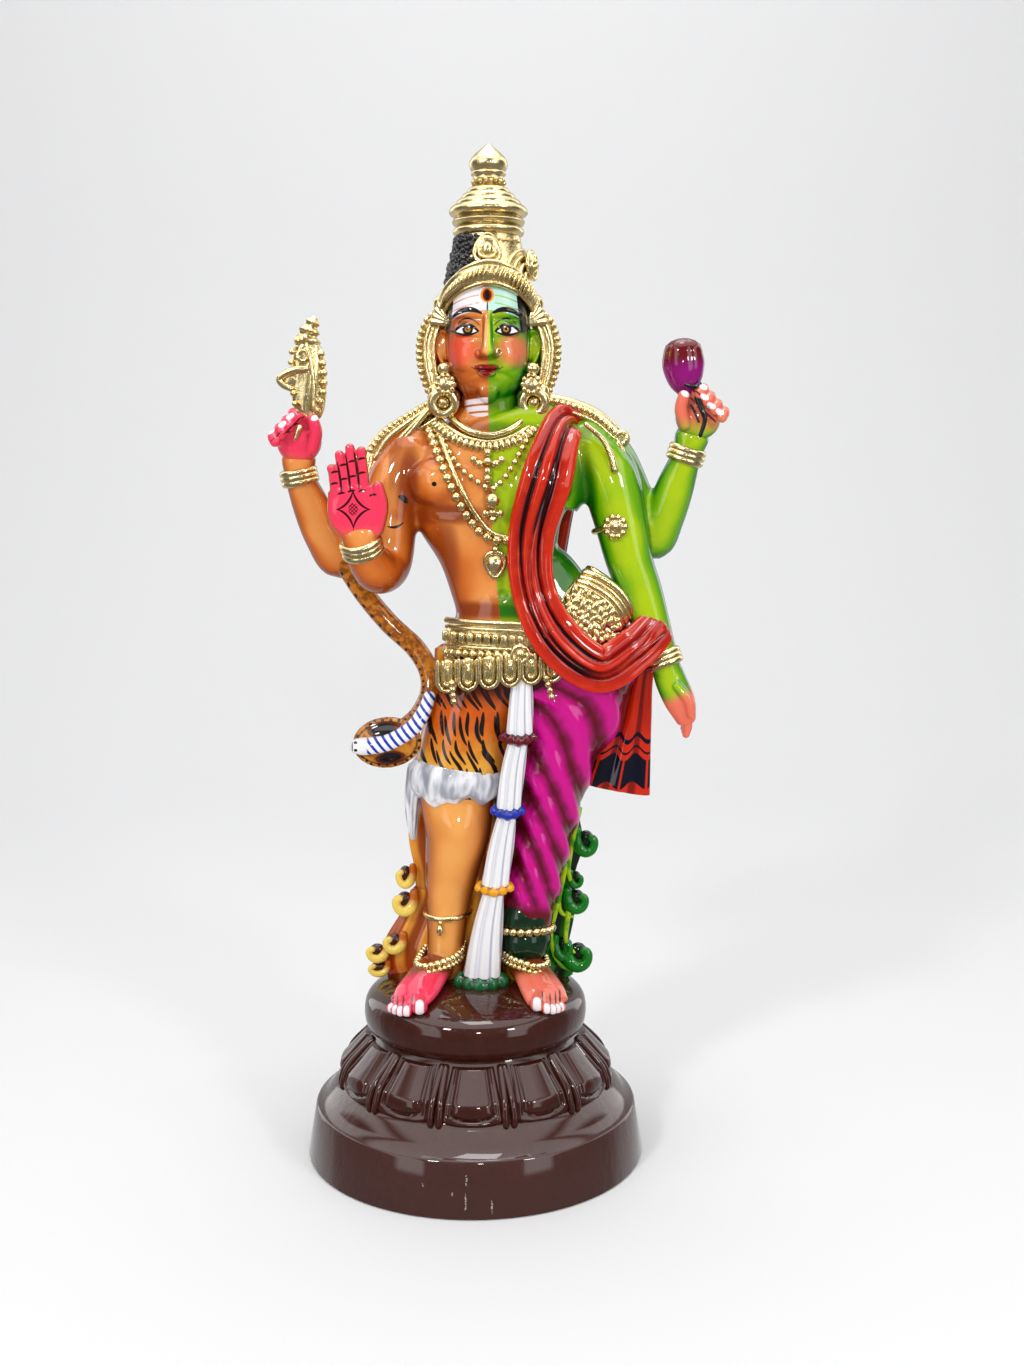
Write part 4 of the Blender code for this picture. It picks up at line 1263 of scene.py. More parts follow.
def foot_clay(clay, heel, ball, toes):
    """A foot on the dome: heel and ball are places, toes are tips with their half widths."""
    middle = [(h + b) / 2 for h, b in zip(heel, ball)]
    tip = [sum(t[k] for t in toes) / len(toes) for k in (0, 1)]
    front = [b + (t - b) * 0.62 for b, t in zip(ball, tip)]
    clay.loft([(*on_dome(*heel, 6), 11, 8), (*on_dome(*middle, 7), 12, 8.5), (*on_dome(*ball, 4.4), 13.6, 6),
               (*on_dome(*front, 3.0), 13.2, 3.6)], depth=UPWARD, end=0.5)
    for x, y, half in toes:
        root = [b + (t - b) * 0.4 for b, t in zip(ball, (x, y))]
        clay.rope([on_dome(*root, 3.8), on_dome((x + root[0]) / 2, (y + root[1]) / 2, 3.6),
                   on_dome(x, y + 1, half * 0.9)], half * 0.95, half)


def foot_colour(toes, paint, shift):
    """Skin that turns to the toes' paint, with a painted highlight down the front of the leg, dark lines
    between the toes and white nails.
    """
    def colour(tree):
        x, y, z = doll_place(tree)
        front = y * -1 + abs(x - shift) * 0.25
        tint = (front - z * 0.7 + cloud(tree, 9) * 5 - 20).rise(0, 12).most(~z.rise(-6, -2))
        # Painted highlight: the leg grows paler where it faces the front.
        leg = mixed((facing(tree)[1] * -1).rise(0.3, 1.0) * 0.45, skin_colour(tree),
                    srgb(250, 184, 96) if shift < 0 else colours().lime)
        skin = mixed(tint, leg, paint)
        gaps = [((a[1] + b[1]) / 2 + 3.5, a[0] + (b[0] - a[0]) * a[2] / (a[2] + b[2])) for a,
                b in zip(toes, toes[1:])]
        lines = any_of(stroke(y, x, gap, 5.0, 0, 0.5, soft=0.3) for gap in gaps)
        nails = any_of(oval(x, y, (tx, ty - half * 0.45), (half * 0.52, half * 0.62)) for tx, ty,
                       half in toes)
        skin = mixed(lines * z.rise(-14, -8), skin, srgb(70, 10, 10))
        return mixed(nails, skin, srgb(244, 236, 240))
    return colour


TOES_RIGHT = [(-31.5, -54, 4.8), (-39.5, -53, 3.6), (-43.6, -51, 3.3), (-46.8, -48, 3.1), (-49.6, -44.5, 2.9)]
TOES_LEFT = [(37.5, -49, 4.6), (43.5, -49, 3.5), (47.3, -47.5, 3.2), (50.2, -45, 3), (52.6, -42, 2.8)]

def foot_chains():
    """Gold chains over both insteps."""
    parts = []
    right = [(-31, 8, 15), (-34.6, -6, 12.5), (-35, -17, 11.5), (-29.5, -26, 13), (-20.5, -24, 14.5),
             (-12.6, -16, 15.5), (-7.8, -6, 17), (-7, 6, 18)]
    left = [(17, 6, 18), (16.6, -5, 16.5), (21, -15.5, 15.5), (28.5, -23, 14.5), (37, -25, 12.6),
            (43.8, -16, 11.5), (43.4, -5, 12), (40.5, 7, 14)]
    for points in (right, left):
        parts += [
            bead_string("foot_chain", points, 2.4, 0.86),
            bead_string("foot_chain", [(x, y - 2.2, z - 3.2) for x, y, z in points], 1.8, 1.0),
        ]
    gild("foot_chains", parts)


class DOLL_OT_legs(bpy.types.Operator):
    """The bare right leg and both feet, with their chains"""

    bl_idname = "doll.legs"
    bl_label = "Legs and feet"

    def execute(self, context):
        clay = Clay()
        clay.loft([
            (-7, 0, 146, 24, 22), (-11, 0, 116, 23.3, 21), (-10.5, -3, 93, 20.3, 19),
            (-13.5, 1, 72, 17.5, 18), (-16, 3, 54, 15, 15.5), (-17.6, 3, 33, 12.6, 12.6),
            (-18.6, 2, 17, 11.6, 13), (-19, 1, 4, 12.5, 15),
        ], sides=48)
        foot_clay(clay, (-19, 6), (-34, -36), TOES_RIGHT)
        item = clay.fused("right_leg", 0.85, 2)
        press(item, (-9, -22, 96), (9, 8, 9), (0, -2.0, 0))
        finish(item, paint_material(
            "right_leg_lacquer", foot_colour(TOES_RIGHT, colours().rose, -34), bump=0.2))
        clay = Clay()
        clay.loft([(29.5, 0, 30, 11.5, 12.5), (28.5, 0, 12, 11.5, 13), (28, 1, 3, 11.5, 14)])
        foot_clay(clay, (28, 6), (41, -32), TOES_LEFT)
        finish(clay.fused("left_foot", 0.75, 2), paint_material(
            "left_foot_lacquer", foot_colour(TOES_LEFT, colours().salmon, 41), bump=0.2))
        foot_chains()
        return {"FINISHED"}


# The cloths

def fold_relief(count, height, sharp=1.0):
    """Relief of cloth with rounded folds across its width."""
    def relief(angle, share):
        wave = np.cos(math.pi * count * np.cos(angle) + 0 * share)
        return height * (np.abs(wave) ** sharp * np.sign(wave))
    return relief


def fold_height(tree):
    """The relief of a lofted cloth at the shaded point, 1 on its crests and -1 in its grooves."""
    node = tree.nodes.new("ShaderNodeAttribute")
    node.attribute_name = "fold"
    return Wire(tree, node.outputs["Fac"])


def tiles(x, z, width, height, shift):
    """Places inside repeated cells, each row of them moved on by a share of their width."""
    row = (z / height).run("FLOOR")
    across = x / width + row * shift
    return (across - across.run("FLOOR") - 0.5) * width, (z / height - row - 0.5) * height


def sash_colour(tree):
    """Orange red, darker red in the grooves as painted shade, with long maroon strokes in the grooves."""
    fold = fold_height(tree)
    _, along = own_uv(tree)
    paints = colours()
    # Painted shade: the cloth darkens to deep red in its grooves.
    colour = mixed(fold.rise(-0.5, 0.5), srgb(150, 18, 6), paints.sash_red)
    colour = mixed(cloud(tree, 14, 2.0).rise(0.45, 0.75) * 0.3, colour, srgb(226, 70, 22))
    lens = (along * 19 + 0.6).wave() * 0.2 + cloud(tree, 3, 1.0) * 0.4 - 0.2
    groove = (fold * -1 - 0.5 + lens).rise(0.0, 0.10) * along.within(0.06, 0.76, 0.04)
    return mixed(groove, colour, srgb(46, 2, 10))


SASH_FRONT = [
    (59, 12, 333, 11, 5), (56, -4, 338, 12, 5), (51, -18.5, 331, 12.5, 5.6), (43.6, -30, 306, 15, 6),
    (34.5, -27, 272, 13.5, 6), (36, -28, 240, 13, 6), (50, -32, 212, 14.5, 7), (74, -31, 195, 14, 7),
    (95, -24, 206, 13, 7), (108.5, -14, 217.5, 13, 8),
]


def sash_end_colour(tree):
    """Red cloth with painted maroon shade in its grooves and a navy band near its end."""
    _, _, z = doll_place(tree)
    fold = fold_height(tree)
    paints = colours()
    # Painted shade: the cloth darkens to maroon in its grooves.
    colour = mixed(~fold.rise(-0.9, -0.3) * 0.85, paints.sash_red, srgb(110, 12, 8))
    level = z + fold * 2.4
    band = level.within(119, 137, 0.4) * ~fold.rise(0.93, 0.98)
    line = level.within(147, 150, 0.3).most(level.within(140.5, 142, 0.3))
    return mixed(band.most(line), colour, srgb(12, 10, 34))


class DOLL_OT_sash(bpy.types.Operator):
    """The red sash from the left shoulder across the hips, with its hanging end"""

    bl_idname = "doll.sash"
    bl_label = "Shoulder sash"

    def execute(self, context):
        paint = paint_material("sash_lacquer", sash_colour)

        def front_folds(angle, share):
            across = np.cos(angle)
            height = 0.9 * np.cos(7.2 * across + 0.6 * np.sin(6 * share) + 0.4)
            for middle, wide, sway in ((-0.46, 0.09, 0.10), (-0.02, 0.11, 0.12), (0.34, 0.07, 0.10)):
                line = middle + sway * np.sin(7 * share + 9 * middle)
                height = height - 2.2 * np.exp(-((across - line) / wide) ** 2)
            return (height + 0.5 * share * np.cos(22 * across)) * np.clip((1.03 - share) / 0.10, 0, 1)
        front = lofted("sash_front", SASH_FRONT, 160, 16, relief=front_folds)
        finish(front, paint)
        back = lofted("sash_back", [
            (59, 10, 343, 11, 6), (57, 24, 322, 13, 6), (48, 27, 290, 15, 6), (40, 27, 255, 17, 6),
            (34, 28, 225, 18, 6)], 96, 12, relief=fold_relief(3, 1.5, 0.8))
        finish(back, paint)
        fall = lofted("sash_end", [
            (107, -4, 219, 9, 8), (101, 6, 190, 8.5, 6), (96, 7, 160, 12.5, 5), (88, 6, 116, 20, 4.5)],
            112, 16, relief=fold_relief(2.4, 1.0, 0.9), end=0.3)
        finish(fall, paint_material("sash_end_lacquer", sash_end_colour))
        return {"FINISHED"}


def sari_colour(tree):
    """Magenta crests and maroon grooves as painted light and shade from the folds and the sides, with painted
    shade under the belt at the hip, and darker towards the hem.
    """
    fold = fold_height(tree)
    _, along = own_uv(tree)
    shade, _ = use_group(tree, painted_shade_and_light(), 0.3, 0.95)
    # Painted light and shade: magenta on the crests, maroon in the grooves and towards the sides.
    crest = (fold + cloud(tree, 9, 2.0) * 0.8 - 0.4 - shade * 0.5).rise(-0.5, 0.35)
    colour = mixed(crest, srgb(98, 4, 34), colours().sari)
    # Painted shade under the belt, at the top of the sari.
    hip = ~along.rise(0.08, 0.26) * 0.6
    colour = mixed(hip, colour, srgb(104, 4, 34))
    return mixed(along.rise(0.86, 0.93), colour, srgb(104, 8, 26))


class DOLL_OT_sari(bpy.types.Operator):
    """The sari round the left leg in slanting folds, with its dark green hem band and gold beads"""

    bl_idname = "doll.sari"
    bl_label = "Sari"

    def execute(self, context):
        def relief(angle, share):
            turn = 15 * (share - 0.15 * np.cos(angle)) - 0.5 * np.sin(angle) + 0.4 * np.sin(9 * share)
            big = 2 * np.abs(np.sin(math.pi * turn / 2)) - 1
            fine = 0.5 * np.cos(math.pi * turn * 2)
            return (1.8 * big + fine) * (1 - 0.4 * share) * np.clip((1.0 - share) / 0.1, 0, 1)
        item = lofted("sari", [
            (50, 2, 214, 44, 29), (55, 2, 190, 43, 30), (56, 2, 168, 35, 28), (50, 1, 140, 25, 25),
            (46, 0, 112, 20, 22), (41, 0, 84, 17.6, 19.5), (35.5, 0, 56, 16.6, 18), (31.5, 0, 36, 16, 17)],
            144, 26, relief=relief)
        finish(item, paint_material("sari_lacquer", sari_colour))
        green = paint_material("hem_band_lacquer", lambda tree: mixed(
            cloud(tree, 18, 1.0).rise(0.4, 0.6) * 0.4, srgb(12, 52, 30), srgb(6, 22, 16)))
        bands = [lofted("hem_band", [(30.5 + 0.15 * k, -0.5, 20.0 + 7.4 * k, 16.2, 17.4),
                                     (30.7 + 0.15 * k, -0.5, 24.8 + 7.4 * k, 16.6, 17.8)], 64, 4)
                 for k in (0, 2)]
        finish(joined("hem_bands", bands), green)
        ring = [(30.6 + 17.2 * math.cos(t), -0.5 + 18.4 * math.sin(t), 30.0 - 2.0 * math.sin(t))
                for t in turns(22)]
        beads = beads_at("hem_beads", ring, 2.7, 12, 8)
        finish(beads, gold_paint())
        return {"FINISHED"}


def tiger_colour(tree):
    """Yellow and orange fur with wavy black brush strokes, and dark maroon painted shade under the belt."""
    x, _, z = doll_place(tree)
    colour = mixed(z.rise(128, 165), srgb(232, 168, 60), srgb(206, 92, 22))
    colour = mixed(cloud(tree, 14, 2.0).rise(0.45, 0.75) * 0.5, colour, srgb(190, 76, 16))
    bend = cloud(tree, 4, 1.0) * 7 + (z * 0.18).wave() * 1.2
    strokes = []
    for width, height, shift, turn in ((8.2, 17.0, 0.45, 0.2208), (9.6, 21.0, 0.62, 0.3708)):
        u, v = tiles(x + bend + width * 0.4, z, width, height, shift)
        strokes.append(stroke(v, u * -1, (0, 0), height * 0.46, 0.8, 1.15, turn=turn, soft=0.25))
    colour = mixed(any_of(strokes), colour, BLACK)
    # Painted shade: dark maroon under the belt.
    return mixed(z.rise(168, 184) * 0.9, colour, srgb(62, 14, 10))


def fur_colour(tree):
    """Grey-white fur in soft strands."""
    strands = (cloud(tree, 16, 2.0, (1, 1, 0.3)) + fold_height(tree) * 0.1).rise(0.36, 0.66)
    colour = mixed(strands, srgb(160, 162, 172), srgb(240, 240, 244))
    return mixed(cloud(tree, 7, 1.0).rise(0.5, 0.75) * 0.4, colour, srgb(122, 124, 134))


class DOLL_OT_tiger_skin(bpy.types.Operator):
    """The tiger skin round the right thigh, with its thick fur hem and the flap at its side"""

    bl_idname = "doll.tiger_skin"
    bl_label = "Tiger skin"

    def execute(self, context):
        item = lofted("tiger_skin", [
            (8, 0, 190, 27, 26), (5, 0, 179, 26.4, 26), (-2, 0, 162, 27.5, 26), (-6.4, 0, 145, 27.5, 26),
            (-9.4, 0, 127.5, 28.2, 26.3)], 96, 12)
        finish(item, paint_material("tiger_skin_lacquer", tiger_colour))

        def strands(angle, share):
            deep = np.sin(math.pi * np.clip(share * 1.1, 0, 1)) ** 0.5
            broad = 0.9 * np.cos(9 * angle + 2 * np.sin(3 * angle))
            return deep * (broad + 0.35 * np.cos(22 * angle + 3 * share))
        hem = lofted("fur_hem", [
            (-9.0, 0, 133.5, 28.4, 26.4), (-9.6, 0, 129, 30.2, 28.4), (-10.2, 0, 123.5, 30.6, 28.6),
            (-10.4, 0, 118, 29.0, 27.0), (-10.6, 0, 115, 26.8, 24.8)], 144, 8, relief=strands, end=0.2)
        for vert in hem.data.vertices:
            angle = math.atan2(vert.co.y, vert.co.x + 10)
            low = min(1.0, max(0.0, (132 - vert.co.z) / 15))
            waves = 2.4 * math.sin(4 * angle + 0.6) + 1.3 * math.sin(9 * angle) + 3.4 * math.cos(angle) ** 3
            vert.co.z += low * waves
        flap = lofted("fur_flap", [
            (-36, 1, 130, 5.2, 8), (-38.4, 2, 112, 4.6, 7), (-38.6, 3, 97, 3.4, 5), (-38, 3, 86, 1.6, 2.6)],
            40, 10, relief=lambda a, s: 0.5 * np.cos(9 * a + 5 * s))
        finish(joined("tiger_fur", [hem, flap]), paint_material("fur_lacquer", fur_colour))
        return {"FINISHED"}


class DOLL_OT_centre_sash(bpy.types.Operator):
    """The white pleated cloth between the legs, gathered by bands"""

    bl_idname = "doll.centre_sash"
    bl_label = "Centre sash"

    def execute(self, context):
        def white(tree):
            # Painted shade: the pleats turn grey in their grooves.
            return mixed(fold_height(tree).rise(-0.95, -0.2), srgb(186, 184, 200), srgb(240, 240, 242))
        paint = paint_material("white_cloth_lacquer", white, bump=0.2)
        sections = [
            [(29, -25, 194, 6, 5), (28.2, -26, 172, 7.6, 5.5), (27, -26, 154, 9, 6)],
            [(27, -26, 154, 6, 5), (23.4, -25, 133, 7.4, 6), (20.4, -24, 109, 8.2, 6.5)],
            [(20.4, -24, 109, 5.8, 5), (16.4, -22, 86, 7.8, 6), (12.2, -20, 61, 9.2, 7)],
            [(12.2, -20, 61, 6.4, 6), (8, -18, 33, 9.6, 8), (4, -17, 2, 12.6, 10)],
        ]

        def pleats(angle, share):
            turn = math.pi * 3 * np.cos(angle) + 0.8 * np.sin(4 * share)
            return 0.5 * np.cos(turn) + 0.22 * np.cos(2.3 * turn + 1)
        for k, stations in enumerate(sections):
            finish(lofted(f"centre_pleats_{k + 1}", stations, 96, 14, relief=pleats), paint)
        bands = [(27, -26, 153.5, 9.0, (104, 20, 36)), (20.4, -24, 108.5, 7.8, (24, 52, 170)),
                 (12.2, -20, 60.5, 9.2, (240, 160, 24))]

        def crimp(angle, share):
            return 0.4 * np.cos(26 * share) + 0.3 * np.cos(3 * angle)
        for k, (x, y, z, half, tint) in enumerate(bands):
            # Painted shade: each band darkens to half its colour in its grooves.
            ribbon = paint_material(f"band_lacquer_{k + 1}", lambda tree, t=tint: mixed(
                fold_height(tree).rise(-0.9, 0.3), srgb(*[c * 0.5 for c in t]), srgb(*t)))
            item = lofted(f"sash_band_{k + 1}", [
                (x - half, y - 1.5, z + 1, 4.4, 3.2), (x, y - 4.4, z - 1.0, 4.4, 3.8),
                (x + half, y - 1.5, z + 1, 4.4, 3.2)],
                40, 24, depth=UPWARD, relief=crimp)
            finish(item, ribbon)
        # Painted shade: the hem darkens in its grooves.
        green = paint_material("hem_lacquer", lambda tree: mixed(
            fold_height(tree).rise(-0.9, 0.3), srgb(6, 40, 22), srgb(16, 96, 52)), bump=0.6)
        hem = lofted("sash_hem", [(-8.6, -19, 2, 5.4, 5), (4, -24.5, 1, 5.6, 5.6), (16.6, -19, 2, 5.4, 5)],
                     40, 30, depth=UPWARD, relief=crimp)
        finish(hem, green)
        return {"FINISHED"}


def drape_colour(tree):
    """Orange brown on the right half and dark green on the left, with painted highlights on the crests,
    painted shade in the grooves, and redder tips.
    """
    x, _, z = doll_place(tree)
    # Painted light and shade: crests lighter, grooves darker.
    light = fold_height(tree).rise(-0.4, 0.8)
    orange = mixed(light, srgb(168, 76, 16), srgb(240, 158, 52))
    orange = mixed(~z.rise(-6, 12) * 0.6, orange, srgb(206, 60, 40))
    green = mixed(light, srgb(4, 44, 16), srgb(26, 128, 26))
    return mixed((x - 12).rise(-0.5, 0.5), orange, green)


def hook_colour(tree):
    """Curled ends that turn yellow or bright green towards their tips."""
    x, _, _ = doll_place(tree)
    around, along = own_uv(tree)
    tip = along.rise(0.16, 0.36)
    orange = mixed(tip, srgb(196, 100, 26), srgb(242, 208, 96))
    stripe = (around * (2 * math.pi) + 0.6).wave().rise(0.3, 0.8) * along.rise(0.2, 0.5)
    green = mixed(stripe, srgb(18, 116, 28), srgb(150, 196, 24))
    return mixed((x - 12).rise(-0.5, 0.5), orange, green)


HOOK = ((1.15, 1.5), (1.1, 0.5), (0.8, -0.35), (0.1, -0.8), (-0.6, -0.6), (-0.95, 0.0), (-0.9, 0.6),
        (-0.5, 0.85))


class DOLL_OT_back_drape(bpy.types.Operator):
    """The cloth that falls behind both legs, with hooked ends at its edges and dark lumps of painted shade
    behind their curls
    """

    bl_idname = "doll.back_drape"
    bl_label = "Back drape"

    def execute(self, context):
        def folds(angle, share):
            return 0.9 * np.cos(math.pi * 9 * np.cos(angle) + 2.0 * np.sin(5 * share))
        item = lofted("back_drape", [
            (20, 18, 200, 46, 9), (18, 23, 160, 46, 8), (15.5, 22, 110, 48.5, 7), (13, 20, 84, 55, 7),
            (12, 20, 60, 51, 7), (12, 19, 42, 52, 7), (6, 18, 22, 55, 7), (3, 17, 6, 62, 8),
            (3, 16, -6, 58, 8)],
            176, 12, relief=folds)
        finish(item, paint_material("drape_lacquer", drape_colour))
        hooks, hollow_shades, crests = [], [], []
        for x, z, wide, high in ((-44, 58.6, 5.7, 7.4), (-44.5, 41.6, 7.4, 7.8), (-51.4, 15.8, 6.9, 6.4),
                                 (-62.2, 9.8, 6.9, 5.8), (-61.4, -0.6, 7.0, 4.6), (69, 80, 7.2, 8.6),
                                 (63, 57, 4.4, 5.4), (63.4, 43, 7.2, 7.6), (64.4, 7, 8.6, 9.4),
                                 (55, 12, 6, 8)):
            side = 1 if x > 0 else -1
            spots = [(x - side * wide * a * 0.72, 9.5 + 2.5 * (a > 1), z + high * 0.66 * b) for a, b in HOOK]
            radii = [r * min(wide, high) for r in (0.4, 0.48, 0.5, 0.48, 0.42, 0.38, 0.36, 0.3)]
            hooks.append(lofted("hook", [(*p, r, r) for p, r in zip(spots, radii)], 18, 6))
            # A dark lump behind each hook stands for the painted shade inside its curl.
            hollow_shades.append(lump("hollow", ((x, 13, z + 0.3 * high), (wide * 0.7, 4, high * 0.7))))
        for line in (((64.7, 103), (60.9, 85), (58.2, 66), (60, 56), (64, 54)),
                     ((56.6, 68), (52.3, 46), (54, 36.5), (61, 34)),
                     ((51, 42), (47, 22), (51, 6), (60, 0), (68, 6)), ((58, 37), (56.6, 19), (62, 11))):
            crests.append(rod("crest", [(x, 9.4, z) for x, z in line], 1.9, 12, 8, 1.0))
        finish(joined("drape_hooks", hooks), paint_material("hook_lacquer", hook_colour))
        lime = paint_material("crest_lacquer", lambda tree: mixed(
            cloud(tree, 12, 1.0).rise(0.35, 0.6), srgb(70, 150, 20), srgb(168, 204, 28)))
        finish(joined("drape_crests", crests), lime)
        # Painted shade inside the hooks' curls, brown on the right half and dark green on the left.
        dark = paint_material("hollow_shade_lacquer", lambda tree: mixed(
            (doll_place(tree)[0] - 12).rise(-0.5, 0.5), srgb(64, 22, 6), srgb(2, 34, 14)))
        finish(joined("hook_hollow_shades", hollow_shades), dark)
        return {"FINISHED"}


# Gold

def crown_profile():
    """Radius and height of the crown in units, from its foot up to its tip."""
    body = [(24.8, 412.0), (25.0, 416.0), (24.2, 422.0), (22.4, 430.0), (20.4, 438.0), (19.0, 445.0)]
    rings = [(18.6, 446.6), (20.4, 447.8), (21.0, 449.4), (20.6, 450.8), (18.8, 451.8), (18.6, 452.6)]
    rings += [(20.6, 453.5), (21.4, 455.0), (20.8, 456.4), (18.8, 457.2), (19.0, 458.0)]
    rings += [(22.0, 458.8), (23.1, 460.0), (23.1, 461.4), (22.2, 463.0), (20.8, 464.2), (19.2, 464.6)]
    rings += [(19.2, 465.8), (18.4, 467.0), (17.0, 467.8), (15.8, 468.0), (15.9, 469.2), (15.0, 470.6)]
    rings += [(13.6, 471.4), (12.4, 471.6), (12.5, 472.8), (11.6, 474.0), (10.2, 474.8)]
    neck = [(8.8, 475.8), (8.2, 477.2), (9.0, 478.2), (9.6, 479.2), (8.8, 480.2), (8.9, 481.0)]
    bulb = [(10.2, 482.0), (10.3, 483.0), (9.6, 483.8), (10.6, 485.2), (11.3, 487.4), (11.0, 489.6),
            (9.7, 491.8)]
    return body + rings + neck + bulb + [(7.4, 494.2), (4.6, 496.6), (2.2, 498.6), (0.7, 499.7),
                                         (0.05, 500.0)]


CROWN_X = 9.0


def crown_radius(z):
    """Radius of the crown's body at a height."""
    profile = crown_profile()
    return float(np.interp(z, [row[1] for row in profile], [row[0] for row in profile]))


def on_crown(angle, z, lift):
    """A point on the crown; the angle counts from the front towards the figure's left, in degrees."""
    turn = math.radians(angle)
    reach = crown_radius(z) + lift
    return CROWN_X + reach * math.sin(turn), -reach * math.cos(turn), z


def coiled_hair():
    """The tight curls of the matted hair on the right half of the crown."""
    draw = np.random.default_rng(5)
    spots = []
    for row in range(14):
        z = 417.5 + row * 2.1
        step = 2.5 / crown_radius(z)
        for k in range(int(math.radians(172) / step)):
            angle = -4 - math.degrees(step) * (k + 0.5 * (row % 2)) + draw.uniform(-1.2, 1.2)
            spot = on_crown(angle, z + draw.uniform(-1.1, 1.1), draw.uniform(-0.4, 0.6))
            spots.append(Matrix.Translation(spot) @ Matrix.Scale(draw.uniform(0.7, 1.15), 4))
    curls = copies("coiled_hair", bead_model(1.85, 9, 6), spots)
    finish(curls, hair_paint())


def front_drop():
    """The drop-shaped jewel over the forehead."""
    middle = 437.0
    parts = []
    for scale, radius, out in ((1.0, 1.3, 1.6), (0.64, 0.9, 2.6)):
        loop = []
        for k in range(17):
            turn = 2 * math.pi * k / 16
            x = 7.0 * scale * math.sin(turn) * (1 - 0.35 * math.cos(turn))
            z = 8.4 * scale * math.cos(turn)
            loop.append((8.6 + x, -crown_radius(middle + z) - out + 0.02 * x * x, middle + z))
        parts.append(rod("drop_edge", loop, radius, 12, 4))
    parts.append(lump("drop_stone", ((8.6, -23.2, middle - 1), (3.4, 2.6, 4.6)),
                      ((8.6, -21.4, middle - 0.5), (7.0, 2.4, 8.2))))
    gild("crown_drop", parts)


def forehead_band():
    """The arched band with its slanting leaves between two edges."""
    arch = [(-17, -6, 406), (-12.8, -17.5, 413), (-3.5, -25.6, 419.6), (9.3, -28.6, 422.8),
            (22, -25.6, 420), (31, -17.5, 413.4), (35.2, -6, 406.5)]
    halves = [4.4, 5.2, 5.8, 6.0, 5.8, 5.2, 4.4]
    parts = [lofted("band", [(*p, h, 2.6) for p, h in zip(arch, halves)], 24, 10, depth=FRONT)]
    for side, radius in ((1, 1.3), (-1, 1.6)):
        edge = [(x, y - 1.4, z + side * h) for (x, y, z), h in zip(arch, halves)]
        parts.append(rod("band_edge", edge, radius, 12, 10))
    model = lump("band_leaf", ((0, 0, 0), (1.25, 1.9, 4.2), -0.4))
    spots = even_points(arch, 2.9)
    places = [Matrix.Translation((9 + (x - 9) * 1.06, y - 2.4 - 0.06 * abs(x - 9), z)) for x, y, z in spots]
    parts.append(copies("band_leaves", model, places))
    back = [(36.5, -6, 408), (33, 12, 411), (9, 27, 413), (-15, 12, 411), (-18.5, -6, 408)]
    parts.append(rod("band_back", back, 5.0, 20, 8))
    gild("forehead_band", parts)


def crown_leaves():
    """Nested arcs on the gold half, the leafy neck under the bulb and the rosette at the side."""
    parts = []
    for reach, thick in ((5.5, 1.3), (10, 1.5), (14.5, 1.5), (18.5, 1.2)):
        path = []
        for t in np.radians(np.linspace(10, 118, 7)):
            angle = 74 - math.degrees(reach * math.cos(t) / 22)
            path.append(on_crown(angle, 421 + reach * math.sin(t) * 0.95, 0.7))
        parts.append(rod("crown_arc", path, thick, 12, 6, 0.9))
    studs = [on_crown(a, z, 0.4) for a, z in ((18, 443), (27, 442.5), (36, 443), (50, 443.5), (62, 443))]
    parts.append(beads_at("crown_studs", studs, 1.3))
    ring = [(CROWN_X + 9.0 * math.cos(t), 9.0 * math.sin(t), 477.4 + 1.0 * (k % 2))
            for k, t in enumerate(turns(18))]
    parts.append(beads_at("neck_leaves", ring, 1.5))
    hub = (CROWN_X + 25.5, -4, 430)
    parts.append(torus("rosette_rim", hub, (1, -0.35, 0.1), 7.6, 1.5))
    petals = [(hub[0] + 1.2 - 0.3 * math.cos(t), hub[1] - 0.6 + 4.8 * math.cos(t), hub[2] + 4.8 * math.sin(t))
              for t in turns(9)]
    parts += [
        beads_at("rosette_beads", petals, 1.8),
        lump("rosette_core", ((hub[0] - 0.5, hub[1], hub[2]), (3.2, 7.0, 7.0)),
             ((hub[0] + 2.4, hub[1] - 0.8, hub[2]), (1.8, 2.2, 2.2))),
    ]
    gild("crown_leaves", parts)


class DOLL_OT_crown(bpy.types.Operator):
    """The tall crown: gold rings, coiled black hair on one half, the drop and the forehead band"""

    bl_idname = "doll.crown"
    bl_label = "Crown"

    def execute(self, context):
        item = turned("crown", crown_profile(), 96, (CROWN_X, 0))
        finish(item, gold_paint(), angle=50)
        coiled_hair()
        front_drop()
        forehead_band()
        crown_leaves()
        return {"FINISHED"}


def hair_paint():
    """Black lacquered hair."""
    return paint_material("black_hair_lacquer", lambda tree: mixed(
        cloud(tree, 30, 2.0).rise(0.4, 0.7), (0.006, 0.005, 0.006), (0.02, 0.018, 0.024)))


def hair_tie(side):
    """The flared knot above the ear."""
    parts = []
    for k in range(4):
        tip = (9 + side * (28.5 + 1.5 * k), -9, 407 - 3.2 * k)
        parts.append(rod("tie", [(9 + side * 22.5, -11, 397.5 - 0.6 * k),
                                 (9 + side * 25.4, -11.4, 401 - 1.6 * k), tip],
                         1.5, 12, 6, 2.3))
    return parts


